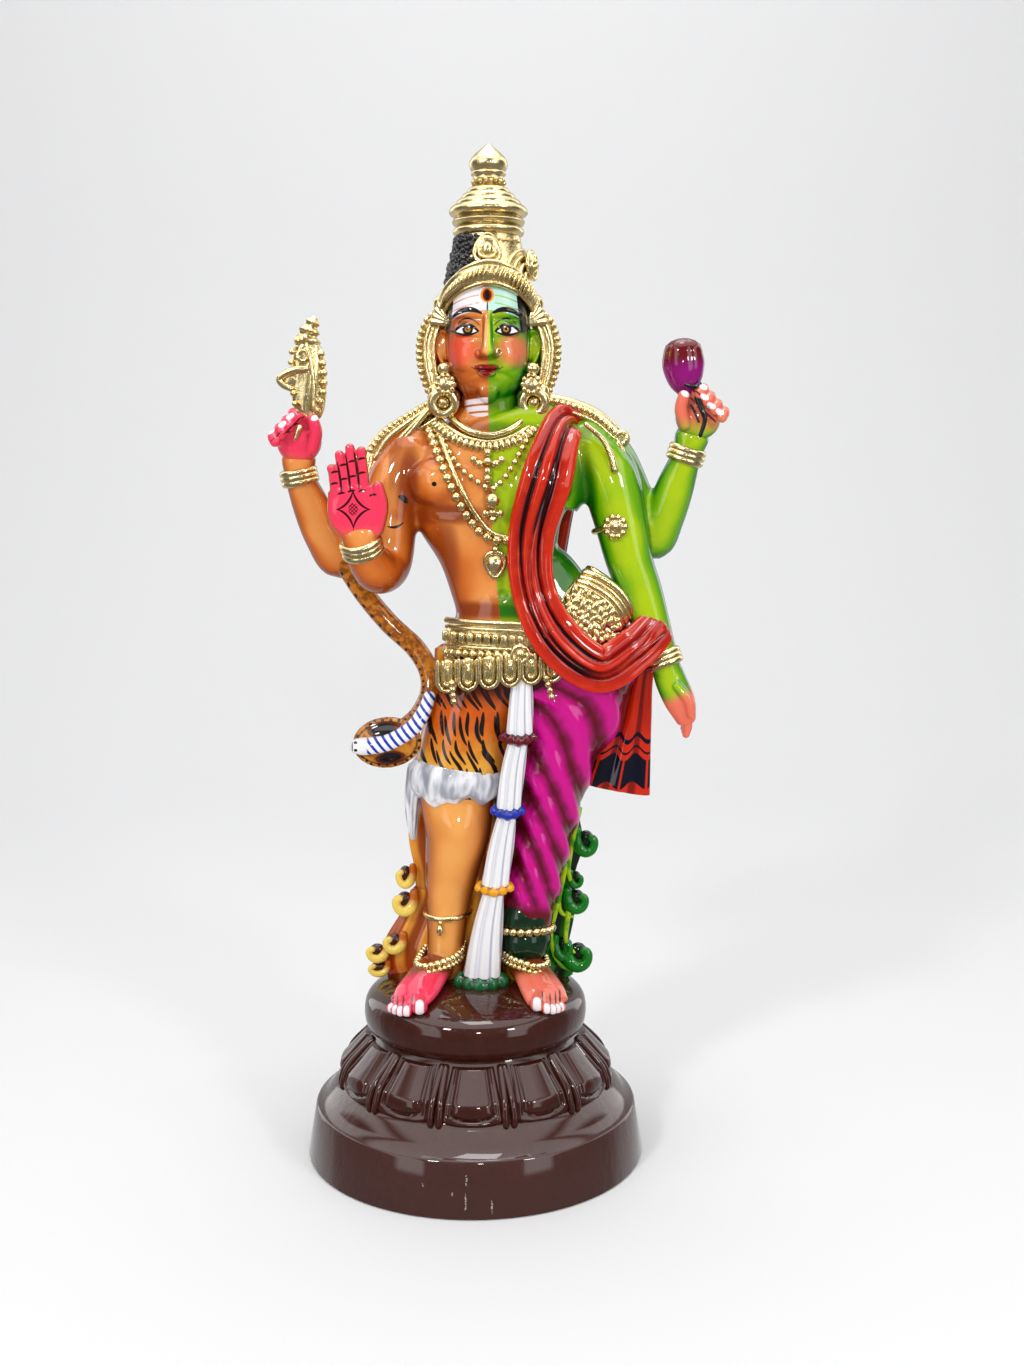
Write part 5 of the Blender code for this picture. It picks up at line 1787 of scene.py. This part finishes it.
def earring(side):
    """The stacked ear ornament with its curl and ball."""
    x = 9 + side * 25.5
    parts = [torus("curl_rim", (x + side, -11, 350.5), (0, 1, 0.1), 6.6, 2.9, 1.0, 40)]
    parts.append(lump("ear_balls", ((x + side, -11, 350.5), (3.4, 3.8, 3.4)),
                      ((x - side * 0.6, -12, 361), (6.4, 5.0, 6.2)),
                      ((x - side * 0.2, -12, 370), (4.6, 4.2, 4.0)),
                      ((x + side * 5.5, -8, 357.5), (4.6, 4.4, 4.6)),
                      ((x - side * 5.5, -8, 354.5), (3.6, 4.4, 4.6))))
    ring = [(x - side * 0.6 + 5.0 * math.cos(t), -15.6 + 0.8 * math.cos(t) ** 2, 361 + 5.0 * math.sin(t))
            for t in turns(10)]
    parts.append(beads_at("ear_beads", ring, 1.7))
    return parts


def black_locks():
    """The black hair under the crown and the locks down the back."""
    clay = Clay()
    clay.loft([(9, 7, 352, 20, 14), (9, 4, 364, 25, 17), (9, 5, 388, 25, 23), (9, 4, 402, 24.6, 24),
               (9, 2, 414, 24, 23.5)])
    for shift, reach in ((-17, 295), (-9, 284), (0, 276), (9, 282), (17, 292)):
        x = 9 + shift
        clay.rope([(x, 20, 408), (x + shift * 0.12, 27, 380), (x + shift * 0.2, 27, 350),
                   (x + shift * 0.12, 27, 318), (x + 2, 26, reach)], 7.4, 3.4)
    item = clay.fused("black_locks", 1.4, 3)
    finish(item, hair_paint())


class DOLL_OT_hair(bpy.types.Operator):
    """Gold hair frames round the ears, the ties, the earrings and the black locks behind"""

    bl_idname = "doll.hair"
    bl_label = "Hair and earrings"

    def execute(self, context):
        for side, label in ((-1, "right"), (1, "left")):
            mid = 9 + side * 0.5
            outline = [(30, 404), (36.6, 397), (40.2, 385), (39.6, 372), (36.4, 361), (32, 351)]
            inner = [(27, 402), (32, 395), (35.2, 384), (34.8, 372), (32, 361), (28.6, 352)]
            parts = [
                lofted("frame", [(mid + side * x, -2, z, 5.0, 5.0) for x, z in inner], 28, 8),
                rod("frame_lip", [(mid + side * (x - 3.6), -6.4, z) for x, z in inner], 1.6, 12, 8),
                rod("frame_rib", [(mid + side * (x + 1.6), -7, z) for x, z in inner], 1.3, 12, 8),
                bead_string("frame_beads", [(mid + side * (x + 0.4), -4, z) for x, z in outline], 2.0, 0.94),
                rod("frame_back", [(mid + side * (x - 5), 6, z) for x, z in outline], 6.2, 20, 8),
            ]
            parts += hair_tie(side)
            parts += earring(side)
            gild(f"{label}_hair_frame", parts)
        black_locks()
        return {"FINISHED"}


def pendant(centre, spots, radius):
    """A cluster of beads on the chest."""
    places = [on_trunk(centre[0] + x, centre[1] + z, 1.4) for x, z in spots]
    return [beads_at("pendant", places, radius, 20, 14)]


def heart_pendant(centre):
    """The pendant with its rim, round above and pointed below."""
    loop = []
    for k in range(25):
        turn = 2 * math.pi * k / 24
        x = 5.6 * math.sin(turn) * (1 + 0.34 * math.cos(turn))
        loop.append(on_trunk(centre[0] + x, centre[1] + 7.4 * math.cos(turn), 1.6))
    x, y, z = on_trunk(*centre, 1.0)
    stone = lofted("heart", [(x, y, z + 5.8, 2.2, 1.6), (x, y, z + 4.0, 4.6, 3.2), (x, y, z + 0.8, 5.2, 4.2),
                             (x, y, z - 2.6, 3.8, 3.6), (x, y, z - 6.6, 1.0, 1.2)], 28, 6)
    return [rod("heart_rim", loop, 1.3, 12, 4), stone]


class DOLL_OT_necklaces(bpy.types.Operator):
    """Collar, bead necklace, long garland and pendants"""

    bl_idname = "doll.necklaces"
    bl_label = "Necklaces"

    def execute(self, context):
        collar = [(-24, 347), (-19, 341.5), (-12, 335.5), (-3, 330.8), (9.5, 328.6), (22, 331.4), (31, 336.5),
                  (38, 342.5), (42, 348)]
        inner = [on_trunk(9.5 + (x - 9.5) * 0.86, z + 2.6, 1.6) for x, z in collar]
        outer = [on_trunk(x, z - 1.4, 1.4) for x, z in collar]
        parts = [rod("collar_inner", inner, 2.3, 14, 8), rod("collar_outer", outer, 1.5, 14, 8)]
        places = []
        for x, _, z in even_points([on_trunk(9.5 + (x - 9.5) * 1.06, z - 4.6, 0) for x, z in collar], 3.7):
            turn = Matrix.Rotation(math.atan2(x - 9.5, z - 356), 4, "Y")
            places.append(Matrix.Translation(on_trunk(x, z, 1.4)) @ turn)
        parts.append(copies("collar_leaves", lump("collar_leaf", ((0, 0, 0), (1.9, 1.9, 3.3))), places))
        gild("collar", parts)
        strand = [(-24, 338), (-16, 325), (-7, 312), (3, 304), (11, 300), (18, 306), (24, 315), (30, 326),
                  (38, 338)]
        parts = [bead_string("necklace", [on_trunk(x, z, 1.2) for x, z in strand], 2.1, 1.22)]
        parts += pendant((8.6, 315), [(0, 6), (0, 1), (-4.6, -0.5), (4.6, -0.5), (-8, 2), (8, 2), (0, -5),
                                      (0, -9)], 2.5)
        parts += pendant((11.4, 293.5), [(0, 0)], 4.6)
        parts += pendant((11.6, 286), [(-4, 0), (0, 0.5), (4, 0), (0, -3.4)], 2.5)
        gild("bead_necklace", parts)
        long = [(-29, 341.5), (-22.5, 325), (-16, 309), (-10, 296), (-3.5, 284.5), (4.5, 274.5),
                (12.5, 270.5), (20, 270.4)]
        parts = [bead_string("garland", [on_trunk(x, z, 1.6) for x, z in long], 3.0, 0.98)]
        parts += [
            bead_string("garland_buds", [on_trunk(x - 1.2, z, 4.0) for x, z in long], 1.3, 2.26),
            rod("garland_cord", [on_trunk(x + 4.6, z + 1.8, 1.2) for x, z in long], 1.5, 10, 8),
        ]
        parts += pendant((12.9, 265), [(0, 0)], 2.3)
        parts += heart_pendant((12.9, 256))
        gild("long_garland", parts)
        return {"FINISHED"}


class DOLL_OT_epaulettes(bpy.types.Operator):
    """The gold ribbons over the shoulders"""

    bl_idname = "doll.epaulettes"
    bl_label = "Shoulder ribbons"

    def execute(self, context):
        right = [(-24, -2, 349), (-38, 0, 341), (-52, 2, 332), (-61, 3, 321), (-63, 2, 308)]
        left = [(42, -2, 352), (57, 0, 349), (72, 2, 343), (84, 3, 333)]
        parts = [lofted("ribbon", [(*p, 4.6, 3.4) for p in right], 20, 8)]
        parts.append(rod("ribbon_edge", [(x + 5, y - 4, z - 6) for x, y, z in right[:-1]], 1.6, 10, 8))
        for out, down, front in ((2.4, 2.6, 3.4), (8.0, 9.4, 5.0), (10.4, 13.0, 5.4)):
            rib = [(x + out * k / 3, y - front - 1, z - down * k / 3)
                   for k, (x, y, z) in enumerate(right[:-1])]
            parts.append(rod("ribbon_rib", rib, 1.5, 10, 8, 2.2))
        parts.append(bead_string("ribbon_beads", [(x - 1, y - 3, z + 2.4) for x, y, z in right[:-1]], 1.8))
        gild("right_epaulette", parts)
        parts = [
            lofted("ribbon", [(*p, 5.0, 3.6) for p in left], 20, 8),
            bead_string("ribbon_beads", [(x, y - 4, z + 0.6) for x, y, z in left], 1.8),
            rod("ribbon_rib", [(x, y - 3.4, z - 3.4) for x, y, z in left], 1.4, 10, 8),
            torus("ribbon_roll", (88, 0, 330), (0.2, 1, 0), 3.2, 2.2, 1.0, 32),
            rod("ribbon_fall", [(86, -3, 327), (89, -5, 318), (91, -6, 308), (95, -4, 299)], 2.2, 14, 8, 3.0),
            rod("ribbon_inner", [(66, -13, 338), (76, -15, 329), (81, -16, 319), (83, -16, 311)], 1.4, 14, 8,
                2.4),
        ]
        gild("left_epaulette", parts)
        return {"FINISHED"}


def on_belt(x, z, lift):
    """A point in front of the belt, at a place across and a height."""
    return x, -28.6 * math.sqrt(max(0.0, 1 - ((x - 37) / 57) ** 2)) - lift, z


def on_hip(run, drop, lift):
    """A point on the belt's raised end: run goes down its outer edge, drop goes in from that edge."""
    swell = 9.5 * math.sqrt(max(0.0, 1 - (run / 21) ** 2))
    drop = drop + 0.013 * run * run
    x = 83 + 0.766 * run - 0.643 * drop
    z = 242.0 - 0.643 * run - 0.766 * drop
    return x, -9 - 0.3 * drop - swell - lift, z


def belt_rows():
    """Rims, square studs and the bead row across the front."""
    across = np.linspace(-16.5, 34, 8)
    parts = []
    for height, radius, lift in ((222.5, 1.8, 0.2), (218.6, 1.2, 0.6), (207.6, 1.1, 1.2), (198.8, 1.4, 1.6)):
        rim = [on_belt(x, height - 0.03 * (x + 16), lift) for x in across]
        parts.append(rod("belt_rim", rim, radius, 12, 4))
    bpy.ops.mesh.primitive_cube_add(size=1)
    stud = bpy.context.object
    stud.scale = (4.2, 3.6, 6.4)
    bpy.ops.object.transform_apply(scale=True)
    bevel = stud.modifiers.new("bevel", "BEVEL")
    bevel.width = 1.3
    bevel.segments = 3
    bpy.ops.object.modifier_apply(modifier="bevel")
    places = [Matrix.Translation(on_belt(x, 213 - 0.03 * (x + 16), 1.3)) for x in np.arange(-17, 36, 5.0)]
    parts += [
        copies("belt_studs", stud, places),
        bead_string("belt_beads", [on_belt(x, 203.2, 1.8) for x in across], 2.7, 0.92),
        torus("belt_medal", (27.8, -31.5, 204), (0, 1, 0), 4.6, 1.7, 1.0, 32),
        lump("medal_stone", ((27.8, -31, 204), (3.4, 3.0, 3.4))),
    ]
    for x, z, lean in ((-12.5, 187, 0.4), (43, 190, 1.1)):
        drop = [(x + lean * k, -34 + 0.3 * k, z - 3.6 * k) for k in range(4)]
        parts.append(bead_string("belt_tassel", drop, 2.1))
    gild("belt_rows", parts)


def hip_end():
    """Ridges along the outer edge of the raised end, and a field of small leaves inside them."""
    parts = []
    for drop, radius in ((-0.8, 2.2), (2.8, 1.6), (5.8, 1.8), (8.6, 1.2)):
        path = [on_hip(run, drop, 0.2) for run in np.linspace(-19, 19, 8)]
        parts.append(rod("hip_ridge", path, radius, 12, 5))
    parts.append(rod("hip_rim", [on_hip(-19, drop, -1) for drop in (6, 16, 28, 40)], 1.6, 12, 5))
    model = lump("hip_leaf", ((0, 0, 0), (1.9, 1.5, 3.1), 0.6))
    places = []
    draw = np.random.default_rng(8)
    for row in range(9):
        for column in range(9):
            run = -16.8 + 4.3 * column + 2.1 * (row % 2) + draw.uniform(-0.8, 0.8)
            drop = 11.4 + 3.8 * row + draw.uniform(-0.7, 0.7)
            turn = Matrix.Rotation(draw.uniform(0, 3.1), 4, "Y") @ Matrix.Scale(draw.uniform(0.8, 1.3), 4)
            places.append(Matrix.Translation(on_hip(run, drop, 0.2)) @ turn)
    parts.append(copies("hip_leaves", model, places))
    gild("belt_filigree", parts)


def belt_plates():
    """The hanging plates, round at their lower ends and with a double rim."""
    parts = []
    for k in range(6):
        x = -15.5 + 12.4 * k
        bulge = 5.5 * math.sin(math.pi * (x + 28) / 92)
        y, z = -25.0 - bulge, 191 + 0.1 * (x + 17)
        parts.append(lump("plate", ((x, y + 1, z), (5.6, 3.4, 9.4))))
        for reach, radius, lift in ((5.4, 1.4, 1.8), (2.4, 1.1, 2.9)):
            loop = [(x + reach * math.cos(t), y - lift, z - 3.4 + reach * 1.1 * math.sin(t))
                    for t in np.linspace(-math.pi, 0, 9)]
            loop = [(x - reach, y - lift, z + 8)] + loop + [(x + reach, y - lift, z + 8)]
            parts.append(rod("plate_rim", loop, radius, 10, 4))
    gild("belt_plates", parts)


class DOLL_OT_belt(bpy.types.Operator):
    """The broad belt: studs, bead rows and hanging plates, and its filigree end on the left hip"""

    bl_idname = "doll.belt"
    bl_label = "Belt"

    def execute(self, context):
        item = lofted("belt_band", [(37, -0.5, 222.5, 53, 26.6), (37.4, -0.5, 216, 55, 27.4),
                                    (38.4, -0.5, 198, 57, 28)], 96, 12, end=0.1)
        hip = lofted("belt_hip", [(56, -19, 211, 19, 9), (66, -15.6, 222, 19.6, 9), (75, -12.4, 232.5, 20, 9),
                                  (83, -9, 242, 20, 8.6)], 64, 12, end=0.3)
        gild("belt_band", [item, hip])
        belt_rows()
        hip_end()
        belt_plates()
        return {"FINISHED"}


def armlet():
    """The armlet with its rosette."""
    hub = (83.5, -19, 278)
    parts = [torus("armlet_band", (84.8, -3.4, 278), (-0.24, 0.1, 0.96), 13.2, 1.8)]
    parts.append(torus("rosette_rim", (hub[0], hub[1] - 0.6, hub[2]), (0, 1, 0), 3.3, 1.0, 1.0, 32))
    ring = [(hub[0] + 5.8 * math.cos(t), hub[1] - 0.4, hub[2] + 5.8 * math.sin(t)) for t in turns(10)]
    parts += [
        beads_at("rosette", ring, 2.0),
        lump("rosette_core", (hub, (6.4, 1.8, 6.4)), ((hub[0], hub[1] - 1.2, hub[2]), (2.3, 2.2, 2.3))),
    ]
    gild("armlet", parts)


class DOLL_OT_bangles(bpy.types.Operator):
    """Bangles, the armlet and the anklet"""

    bl_idname = "doll.bangles"
    bl_label = "Bangles and anklets"

    def execute(self, context):
        wrists = [
            ("back_right_bangle", (-104.4, 0, 307.5), (-0.2, -0.1, 0.97), 9.4),
            ("back_left_bangle", (126.8, 0, 320.5), (0.3, -0.1, 0.95), 9.4),
            ("front_right_bangle", (-64, -35.5, 267), (-0.2, -0.4, 0.9), 10.6),
            ("front_left_bangle", (113.4, -11, 199), (-0.35, 0.1, 0.93), 9.6),
        ]
        for name, centre, axis, radius in wrists:
            parts = []
            for shift, thick in ((-3.0, 2.2), (0, 2.5), (3.0, 2.2)):
                spot = [c + shift * a for c, a in zip(centre, axis)]
                parts.append(torus("ring", spot, axis, radius - 0.3 * (shift == 0), thick))
            gild(name, parts)
        ring = [torus("anklet", (-17.2, 3, 39.6), (-0.05, -0.1, 1), 14.0, 1.7),
                lump("anklet_drop", ((-21.4, -12.6, 31.5), (2.3, 2.0, 3.4)),
                     ((-21.2, -11.8, 36), (1.5, 1.5, 1.5)))]
        gild("anklet", ring)
        armlet()
        return {"FINISHED"}


class DOLL_OT_held_things(bpy.types.Operator):
    """The flame staff's head, the lotus bud and its stem"""

    bl_idname = "doll.held_things"
    bl_label = "Staff head and lotus bud"

    def execute(self, context):

        def rings(angle, share):
            return 0.9 * np.cos(46 * share) * (share > 0.62) + 0.3 * np.cos(5 * angle + 9 * share)
        parts = [lofted("flame", [
            (-98.5, -5, 343, 5.5, 4.5), (-98.5, -5, 352, 8.6, 5), (-97.5, -5, 364, 9.6, 5.6),
            (-97.5, -5, 376, 9.6, 5.4), (-97.6, -5, 386, 7.2, 5), (-96, -5, 393, 5.2, 4.4),
            (-93.5, -5, 399, 2.4, 2.6)], 48, 14, relief=rings)]
        beak = [(-98, -9, 370), (-104, -9.5, 369.6), (-110, -9, 367.5), (-114, -8.4, 364.4),
                (-112, -8.4, 361), (-107, -9, 358.6)]
        parts += [
            rod("flame_beak", beak, 2.6, 14, 6, 1.9),
            rod("flame_spine", [(-94, -11, 346), (-93.6, -11.4, 360), (-95, -11.4, 374), (-97.5, -10, 384)],
                1.3, 12, 6),
            torus("flame_dimple", (-100, -10.4, 377.5), (0, 1, 0), 3.0, 1.1, 1.0, 28),
        ]
        side = [(-92.5, -7, 346), (-88.8, -7.5, 357), (-88.2, -8, 368), (-89.6, -8, 379)]
        parts += [
            bead_string("flame_beads", side, 2.5, 1.08),
            lump("flame_web", ((-105, -6.4, 364.4), (8, 2.8, 6.4), 0.3),
                 ((-93.4, -3.6, 364), (6.4, 5.0, 23), 0.04)),
        ]
        studs = [(-105, -10, 350), (-106, -9, 356), (-107, -9, 374), (-106.4, -9, 380), (-103, -9, 386.4),
                 (-98, -10.4, 388), (-95, -10, 392)]
        parts += [
            beads_at("flame_studs", studs, 1.9),
            rod("staff_foot", [(-101, -20, 336), (-103.6, -20.5, 329)], 1.8, 12, 4, 1.2),
        ]
        gild("flame_staff", parts)

        def bud(tree):
            _, along = own_uv(tree)
            colour = mixed(along.rise(0.5, 0.8), srgb(140, 12, 112), srgb(104, 8, 24))
            # Painted shade: dark purple where the fold drops below zero, in the grooves between the petals.
            return mixed(fold_height(tree).rise(-0.2, 0.0), srgb(60, 2, 50), colour)
        item = lofted("lotus_bud", [
            (127, -6, 357, 5.4, 6), (125.2, -6, 364, 9.6, 9), (124, -6, 373, 11.8, 10),
            (123.6, -6, 381, 10.6, 9)],
            64, 12, relief=lambda a, s: 0.9 * np.abs(np.cos(2.5 * a)) ** 0.6 + 0 * s)
        finish(item, paint_material("lotus_bud_lacquer", bud))
        stem = [rod("bud_stem", [(131, -16.5, 353), (133.6, -18.4, 346), (135.4, -18.6, 340),
                                 (133, -17.4, 331)], 1.9, 12, 8, 1.2),
                rod("bud_thread", [(127.4, -16.4, 349), (130, -17.4, 344), (132, -17.6, 339)], 0.7, 10, 6),
                rod("bud_collar", [(124, -14.2, 361), (129, -14.4, 359.4), (133, -13, 361.4)], 1.2, 10, 6)]
        finish(joined("bud_stem", stem), hair_paint())
        return {"FINISHED"}


def snake_colour(tree):
    """Olive orange scales with black dashes down the outer edge."""
    _, _, z = doll_place(tree)
    around, along = own_uv(tree)
    colour = mixed(cloud(tree, 30, 2.0).rise(0.4, 0.6), srgb(190, 112, 30), srgb(134, 74, 18))
    dashes = (along * 150).wave().rise(0.0, 0.3) * abs(around - 0.5).within(-1, 0.045, 0.01)
    rows = (along * 150 + 2).wave().rise(0.4, 0.7) * abs(around - 0.62).within(-1, 0.03, 0.01)
    return mixed(dashes.most(rows), colour, BLACK)


def hood_colour(tree):
    """Orange rim with black dots, and two big black spots ringed with brown."""
    x, _, z = doll_place(tree)
    rim = ~oval(x, z, (-52, 149.5), (17.6, 12.2), turn=0.1, soft=0.06)
    colour = mixed(cloud(tree, 20, 2.0).rise(0.4, 0.65), srgb(206, 132, 40), srgb(150, 80, 20))
    dots = ((x * 1.3).wave() * (z * 1.3).wave()).rise(0.25, 0.4) * rim
    dark = oval(x, z, (-52, 149.5), (18.6, 13.2), turn=0.1, soft=0.04) * rim * 0.8
    colour = mixed(dots.most(dark), colour, BLACK)
    for spot, radii in (((-54, 158), (9.5, 4.6)), ((-50, 141), (9, 4.4))):
        colour = mixed(oval(x, z, spot, radii, turn=0.15), colour, srgb(92, 36, 8))
        colour = mixed(oval(x, z, spot, [r * 0.75 for r in radii], turn=0.15), colour, BLACK)
    return colour


def belly_colour(tree):
    """White with slanting blue bars, and two black eyes on the head."""
    x, _, z = doll_place(tree)
    bars = ((x * 0.8 + z * 0.6) * 1.55).wave().rise(0.2, 0.45) * x.rise(-63.5, -62.5)
    colour = mixed(bars, srgb(240, 240, 240), srgb(30, 58, 170))
    eyes = oval(x, z, (-69.6, 151.4), (1.1, 0.9)).most(oval(x, z, (-69.6, 147), (1.1, 0.9)))
    mouth = stroke(z, x, (149, -71.6), 3, 0, 0.35)
    return mixed(eyes.most(mouth), colour, BLACK)


class DOLL_OT_snake(bpy.types.Operator):
    """The cobra from the elbow to the hip, with its hood spread beside the thigh"""

    bl_idname = "doll.snake"
    bl_label = "Snake"

    def execute(self, context):
        body = [(-80, 8, 257), (-67, 6, 237), (-52, 5, 219), (-36, 3, 204), (-27.5, -2, 190), (-27, -7, 177),
                (-33, -13, 165), (-42, -18, 157)]
        paint = paint_material("snake_lacquer", snake_colour)
        finish(rod("snake_body", body, 6.2, 32, 12), paint)
        clay = Clay()
        clay.ball((-52, -19, 149.5), (21, 5, 15.5), turn=0.1)
        clay.ball((-52, -20, 149.5), (17, 6.5, 11.5), turn=0.1)
        item = clay.fused("snake_hood", 0.8, 3)
        finish(item, paint_material("snake_hood_lacquer", hood_colour))
        clay = Clay()
        clay.loft([(-26.5, -14, 177, 3.6, 3.6), (-30, -19, 168, 4.2, 4.2), (-37, -24, 158.5, 4.8, 4.4),
                   (-50, -26.4, 151, 5.0, 4.4), (-60, -27.4, 149, 5.2, 4.6), (-66.5, -28, 148.6, 5.4, 5)],
                  32, 12)
        clay.ball((-68.4, -28.4, 148.8), (5.2, 4.8, 4.8))
        belly = clay.fused("snake_belly", 0.6, 2)
        finish(belly, paint_material("snake_belly_lacquer", belly_colour, bump=0.2))
        return {"FINISHED"}


# The stage

CAMERA_PLACE = (0.0228, -0.924, 0.41)
CAMERA_DROP = 7.2
CAMERA_LENS = 40.35


def studio_air():
    """Even light for the paints, and darker air with bright windows for the lacquer to mirror."""
    world = bpy.data.worlds.new("studio")
    world.use_nodes = True
    bpy.context.scene.world = world
    tree = world.node_tree
    back = tree.nodes["Background"]
    back.inputs["Color"].default_value = (0.99, 0.995, 1, 1)
    mirrored = Wire(tree, tree.nodes.new("ShaderNodeLightPath").outputs["Is Glossy Ray"])
    x, y, z = split(tree, tree.nodes.new("ShaderNodeTexCoord").outputs["Generated"])
    sides = abs(x).within(0.55, 0.80, 0.03) * z.within(-0.05, 0.7, 0.04)
    window = sides.most(z.rise(0.72, 0.8)).most(y.rise(0.2, 0.5) * 0.2)
    feed(tree, mirrored * (window * 1.9 + 0.14 + ~z.rise(-0.3, 0.0) * 0.08) + ~mirrored * 0.56,
         back.inputs["Strength"])


def backdrop():
    """A floor that curves up into a wall."""
    wall, bend = 1.9, 0.9
    curve = [(wall - bend + bend * math.sin(t), bend - bend * math.cos(t))
             for t in np.radians(np.linspace(0, 90, 13))]
    line = [(-3.0, 0)] + curve + [(wall, 5)]
    points = [(side * 14, y, z - 0.0004) for y, z in line for side in (-1, 1)]
    faces = [(2 * k, 2 * k + 1, 2 * k + 3, 2 * k + 2) for k in range(len(line) - 1)]
    mesh = bpy.data.meshes.new("backdrop")
    mesh.from_pydata(points, [], faces)
    sheet = bpy.data.objects.new("backdrop", mesh)
    bpy.context.scene.collection.objects.link(sheet)
    pick(sheet)
    bpy.ops.object.shade_smooth()
    pale = bpy.data.materials.new("pale_backdrop")
    pale.use_nodes = True
    shader = pale.node_tree.nodes["Principled BSDF"]
    shader.inputs["Base Color"].default_value = (0.88, 0.88, 0.885, 1)
    shader.inputs["Roughness"].default_value = 0.9
    mesh.materials.append(pale)
    sheet.visible_glossy = False


def soft_lamps():
    """Small soft lamps, which give the lacquer its crisp lights, and a broad one above."""
    lamps = [
        ("key_lamp", (-0.75, -1.25, 1.25), 8, 0.2),
        ("fill_lamp", (0.95, -1.15, 0.95), 4.5, 0.2),
        ("front_lamp", (0.12, -1.6, 0.75), 3, 0.1),
        ("top_lamp", (0.05, -0.15, 1.9), 6, 0.5),
        ("wall_lamp", (0.0, 0.7, 2.2), 8, 1.2),
    ]
    for name, place, power, size in lamps:
        lamp = bpy.data.lights.new(name, "AREA")
        lamp.energy = power
        lamp.size = size
        item = bpy.data.objects.new(name, lamp)
        item.location = place
        goal = Vector((0, 1.6, 0.6)) if name == "wall_lamp" else Vector((0, 0, 0.3))
        item.rotation_euler = (goal - Vector(place)).to_track_quat("-Z", "Y").to_euler()
        bpy.context.scene.collection.objects.link(item)


class DOLL_OT_stage(bpy.types.Operator):
    """Pale curved backdrop, soft studio air with bright windows, small lamps and the camera"""

    bl_idname = "doll.stage"
    bl_label = "Stage"

    def execute(self, context):
        scene = context.scene
        scene.view_settings.view_transform = "Standard"
        eye = bpy.data.objects.new("camera", bpy.data.cameras.new("camera"))
        eye.data.lens = CAMERA_LENS
        eye.data.clip_start = 0.01
        eye.location = CAMERA_PLACE
        eye.rotation_euler = (math.radians(90 - CAMERA_DROP), 0, 0)
        scene.collection.objects.link(eye)
        scene.camera = eye
        backdrop()
        studio_air()
        soft_lamps()
        return {"FINISHED"}


OPERATORS = (
    DOLL_OT_stage, DOLL_OT_base, DOLL_OT_trunk, DOLL_OT_head, DOLL_OT_hands, DOLL_OT_legs, DOLL_OT_back_drape,
    DOLL_OT_sari, DOLL_OT_tiger_skin, DOLL_OT_centre_sash, DOLL_OT_sash, DOLL_OT_crown, DOLL_OT_hair,
    DOLL_OT_necklaces, DOLL_OT_epaulettes, DOLL_OT_belt, DOLL_OT_bangles, DOLL_OT_held_things, DOLL_OT_snake,
)


class DOLL_PT_panel(bpy.types.Panel):
    """Lists the doll's pieces"""

    bl_idname = "DOLL_PT_panel"
    bl_label = "Ardhanarishvara Doll"
    bl_space_type = "VIEW_3D"
    bl_region_type = "UI"
    bl_category = "Doll"

    def draw(self, context):
        for operator in OPERATORS:
            self.layout.operator(operator.bl_idname)


CLASSES = (DollSizes, DollColours, *OPERATORS, DOLL_PT_panel)


def register():
    for item in CLASSES:
        bpy.utils.register_class(item)
    bpy.types.Scene.doll_sizes = bpy.props.PointerProperty(type=DollSizes)
    bpy.types.Scene.doll_colours = bpy.props.PointerProperty(type=DollColours)


def unregister():
    del bpy.types.Scene.doll_colours
    del bpy.types.Scene.doll_sizes
    for item in reversed(CLASSES):
        bpy.utils.unregister_class(item)


def main():
    """Makes the stage and every piece."""
    register()
    for operator in OPERATORS:
        group, name = operator.bl_idname.split(".")
        getattr(getattr(bpy.ops, group), name)()


if __name__ == "__main__":
    main()
